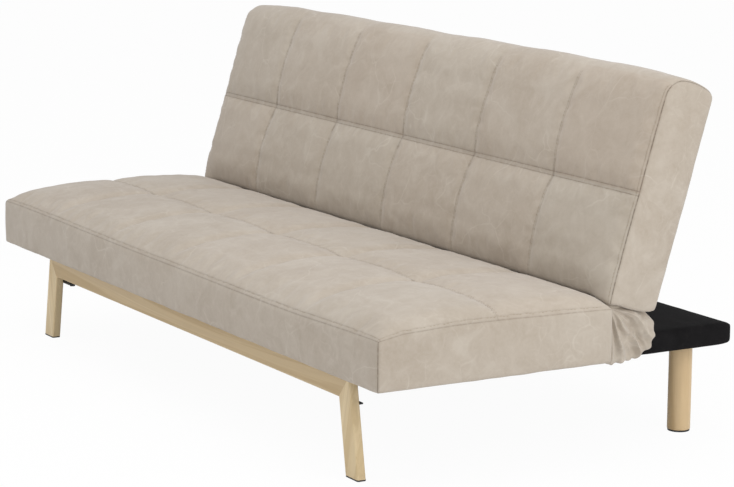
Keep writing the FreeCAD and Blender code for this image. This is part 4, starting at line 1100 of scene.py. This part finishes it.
def makeRuffle(name, sign):
    deselectAll()
    bpy.ops.mesh.primitive_uv_sphere_add(segments=128, ring_count=56, radius=1, location=(0, 0, 0))
    piece = bpy.context.object
    piece.name = name
    middle = ruffle["middle"]
    gather = Vector(ruffle["gather"])
    width = ruffle["outer"] - ruffle["inner"]
    for vertex in piece.data.vertices:
        spot = vertex.co.copy()
        angle = math.atan2(spot.y, spot.x)
        ring = math.acos(max(-1.0, min(1.0, spot.z)))
        out = ring / math.pi
        # 0 is the middle of the outer face, 1 the middle of the inner one
        spreadOut = min(1.0, math.sin(min(ring, math.pi - ring)) ** 0.55 * 1.02)
        rim = ruffleRim(angle)
        setback = middle[0] + math.cos(angle) * rim * spreadOut
        height = middle[1] + math.sin(angle) * rim * spreadOut
        fromGather = Vector((setback, height)) - gather
        reach = fromGather.length
        bearing = math.atan2(fromGather.y, fromGather.x)
        wobble = noise.noise(Vector((bearing * 1.9, reach * 14, 1.7 * sign)))
        phase = bearing * ruffle["folds"] + wobble * 4.4
        ridge = 1 - 2 * abs(math.sin(phase / 2)) ** 0.9
        ridge += 0.45 * (1 - 2 * abs(math.sin(phase * 0.83 + 0.7)) ** 0.9)
        crumple = noise.noise(Vector((setback * 38, height * 38, 4.4 * sign)))
        grown = min(1.0, reach / 0.045)
        facing = (1 - out) ** 0.5
        bulge = 0.5 + 0.5 * math.cos(ring)
        x = ruffle["inner"] + width * (bulge ** 0.40)
        x -= 0.022 * max(0.0, 1 - reach / 0.06) ** 1.5 * (1 - out)
        x += (ruffle["foldDepth"] * 0.55 * ridge + 0.0085 * crumple) * grown * facing - 0.008 * grown * facing
        top = math.exp(-((bearing + 0.40) / 0.16) ** 2) * min(1.0, reach / 0.03)
        crease = math.exp(-((bearing + 0.74) / 0.07) ** 2) * min(1.0, reach / 0.03)
        x += (0.0055 * top - 0.0050 * crease) * facing
        x -= 0.014 * math.exp(-((setback - 0.5436) / 0.007) ** 2) * facing
        if out > 0.22 and reach > 0.045:
            # the elastic draws the edge into small scallops
            share = min(1, (out - 0.22) / 0.16) * min(1, (reach - 0.045) / 0.03)
            scallop = 0.5 * ridge + 0.8 * math.sin(bearing * 37 + wobble * 5) + 0.6 * crumple
            grow = 1 + 0.026 * scallop * share
            setback = middle[0] + (setback - middle[0]) * grow
            height = middle[1] + (height - middle[1]) * grow
            x += 0.0024 * math.sin(bearing * 37 + wobble * 5) * share * facing
        setback = max(setback, 0.5436)
        vertex.co = (sign * x, seat["front"] + setback, height)
    modifier = piece.modifiers.new("Subdivision", "SUBSURF")
    modifier.levels = 1
    modifier.render_levels = 1
    applyAll(piece)
    bpy.ops.object.shade_smooth()
    tidyMesh(piece)
    piece.data.materials.append(plainSuede)
    return piece


for side, sign in (("left", -1), ("right", 1)):
    cover = makeRuffle(f"hingeCover_{side}", sign)
    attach(cover, "frame")
    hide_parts(f"hinge_cover_{side}")
    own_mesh(cover)
print("hinge covers gathered")


# ---------- floor, light and camera

studio = {
    "floorColour": (0.9, 0.9, 0.9, 1),
    "worldStrength": 0.60,
    "top": 49.0,
    "side": 42.0,
    "frontFill": 12.0,
}


def makeFloor():
    deselectAll()
    bpy.ops.mesh.primitive_plane_add(size=60, location=(0, 0, 0))
    floor = bpy.context.object
    floor.name = "studioFloor"
    paint = Recipe("plain pale floor")
    paint.set(Base_Color=studio["floorColour"], Roughness=0.95, Specular_IOR_Level=0.0)
    glow = paint.add("ShaderNodeEmission", None, {"Color": (1, 1, 1, 1), "Strength": 1.0})
    path = paint.add("ShaderNodeLightPath")
    seen = paint.wire(path, "Is Camera Ray").atLeast(paint.wire(path, "Is Glossy Ray"))
    seen = seen.atLeast(paint.wire(path, "Is Transmission Ray"))
    blend = paint.add("ShaderNodeMixShader", None, {0: seen * 0.96})
    paint.links.new(paint.shader.outputs[0], blend.inputs[1])
    paint.links.new(glow.outputs[0], blend.inputs[2])
    paint.links.new(blend.outputs[0], paint.finish.inputs["Surface"])
    floor.data.materials.append(paint.material)


def makeWorld():
    world = bpy.data.worlds.new("studio")
    bpy.context.scene.world = world
    world.use_nodes = True
    nodes, links = world.node_tree.nodes, world.node_tree.links
    nodes.clear()
    lit = nodes.new("ShaderNodeBackground")
    lit.inputs["Color"].default_value = (1, 1, 1, 1)
    lit.inputs["Strength"].default_value = studio["worldStrength"]
    seen = nodes.new("ShaderNodeBackground")
    seen.inputs["Color"].default_value = (1, 1, 1, 1)
    seen.inputs["Strength"].default_value = 1.0
    path = nodes.new("ShaderNodeLightPath")
    mix = nodes.new("ShaderNodeMixShader")
    out = nodes.new("ShaderNodeOutputWorld")
    links.new(path.outputs["Is Camera Ray"], mix.inputs[0])
    links.new(lit.outputs[0], mix.inputs[1])
    links.new(seen.outputs[0], mix.inputs[2])
    links.new(mix.outputs[0], out.inputs["Surface"])


def softLamp(name, place, target, size, power):
    lamp = bpy.data.lights.new(name, "AREA")
    lamp.shape = "RECTANGLE"
    lamp.size, lamp.size_y = size
    lamp.energy = power
    holder = bpy.data.objects.new(name, lamp)
    bpy.context.collection.objects.link(holder)
    holder.location = place
    holder.rotation_euler = (Vector(target) - Vector(place)).to_track_quat("-Z", "Y").to_euler()


view = {
    "yaw": 59.4577,
    "pitch": 10.5890,
    "roll": 0.4072,
    "distance": 5.88677,
    "target": (-0.01138, 0.05787, 0.3),
    "focal": 2588.98,
    "centre": (365.152, 246.519),
    "frame": (734, 487),
}


def makeCamera():
    yaw, pitch, roll = (math.radians(view[k]) for k in ("yaw", "pitch", "roll"))
    behind = Vector((math.sin(yaw) * math.cos(pitch), -math.cos(yaw) * math.cos(pitch), math.sin(pitch)))
    right = (-behind).cross(Vector((0, 0, 1))).normalized()
    up = right.cross(-behind)
    rightTurned = right * math.cos(roll) + up * math.sin(roll)
    upTurned = up * math.cos(roll) - right * math.sin(roll)
    camera = bpy.data.cameras.new("camera")
    wide, tall = view["frame"]
    camera.sensor_width = 36
    camera.lens = view["focal"] * 36 / wide
    camera.shift_x = (wide / 2 - view["centre"][0]) / wide
    camera.shift_y = (view["centre"][1] - tall / 2) / wide
    camera.clip_end = 100
    holder = bpy.data.objects.new("camera", camera)
    bpy.context.collection.objects.link(holder)
    turn = Matrix((rightTurned, upTurned, behind)).transposed().to_4x4()
    holder.matrix_world = Matrix.Translation(Vector(view["target"]) + behind * view["distance"]) @ turn
    bpy.context.scene.camera = holder


makeFloor()
makeWorld()
softLamp("topLamp", (0.3, -0.6, 3.2), (0, 0, 0.3), (4.0, 3.0), studio["top"])
softLamp("sideLamp", (3.5, 0.7, 1.7), (0, 0.1, 0.4), (2.4, 2.4), studio["side"])
softLamp("frontLamp", (1.2, -4.2, 2.0), (0, 0, 0.3), (3.0, 2.4), studio["frontFill"])
makeCamera()
bpy.context.scene.view_settings.view_transform = "Standard"
print("studio set")
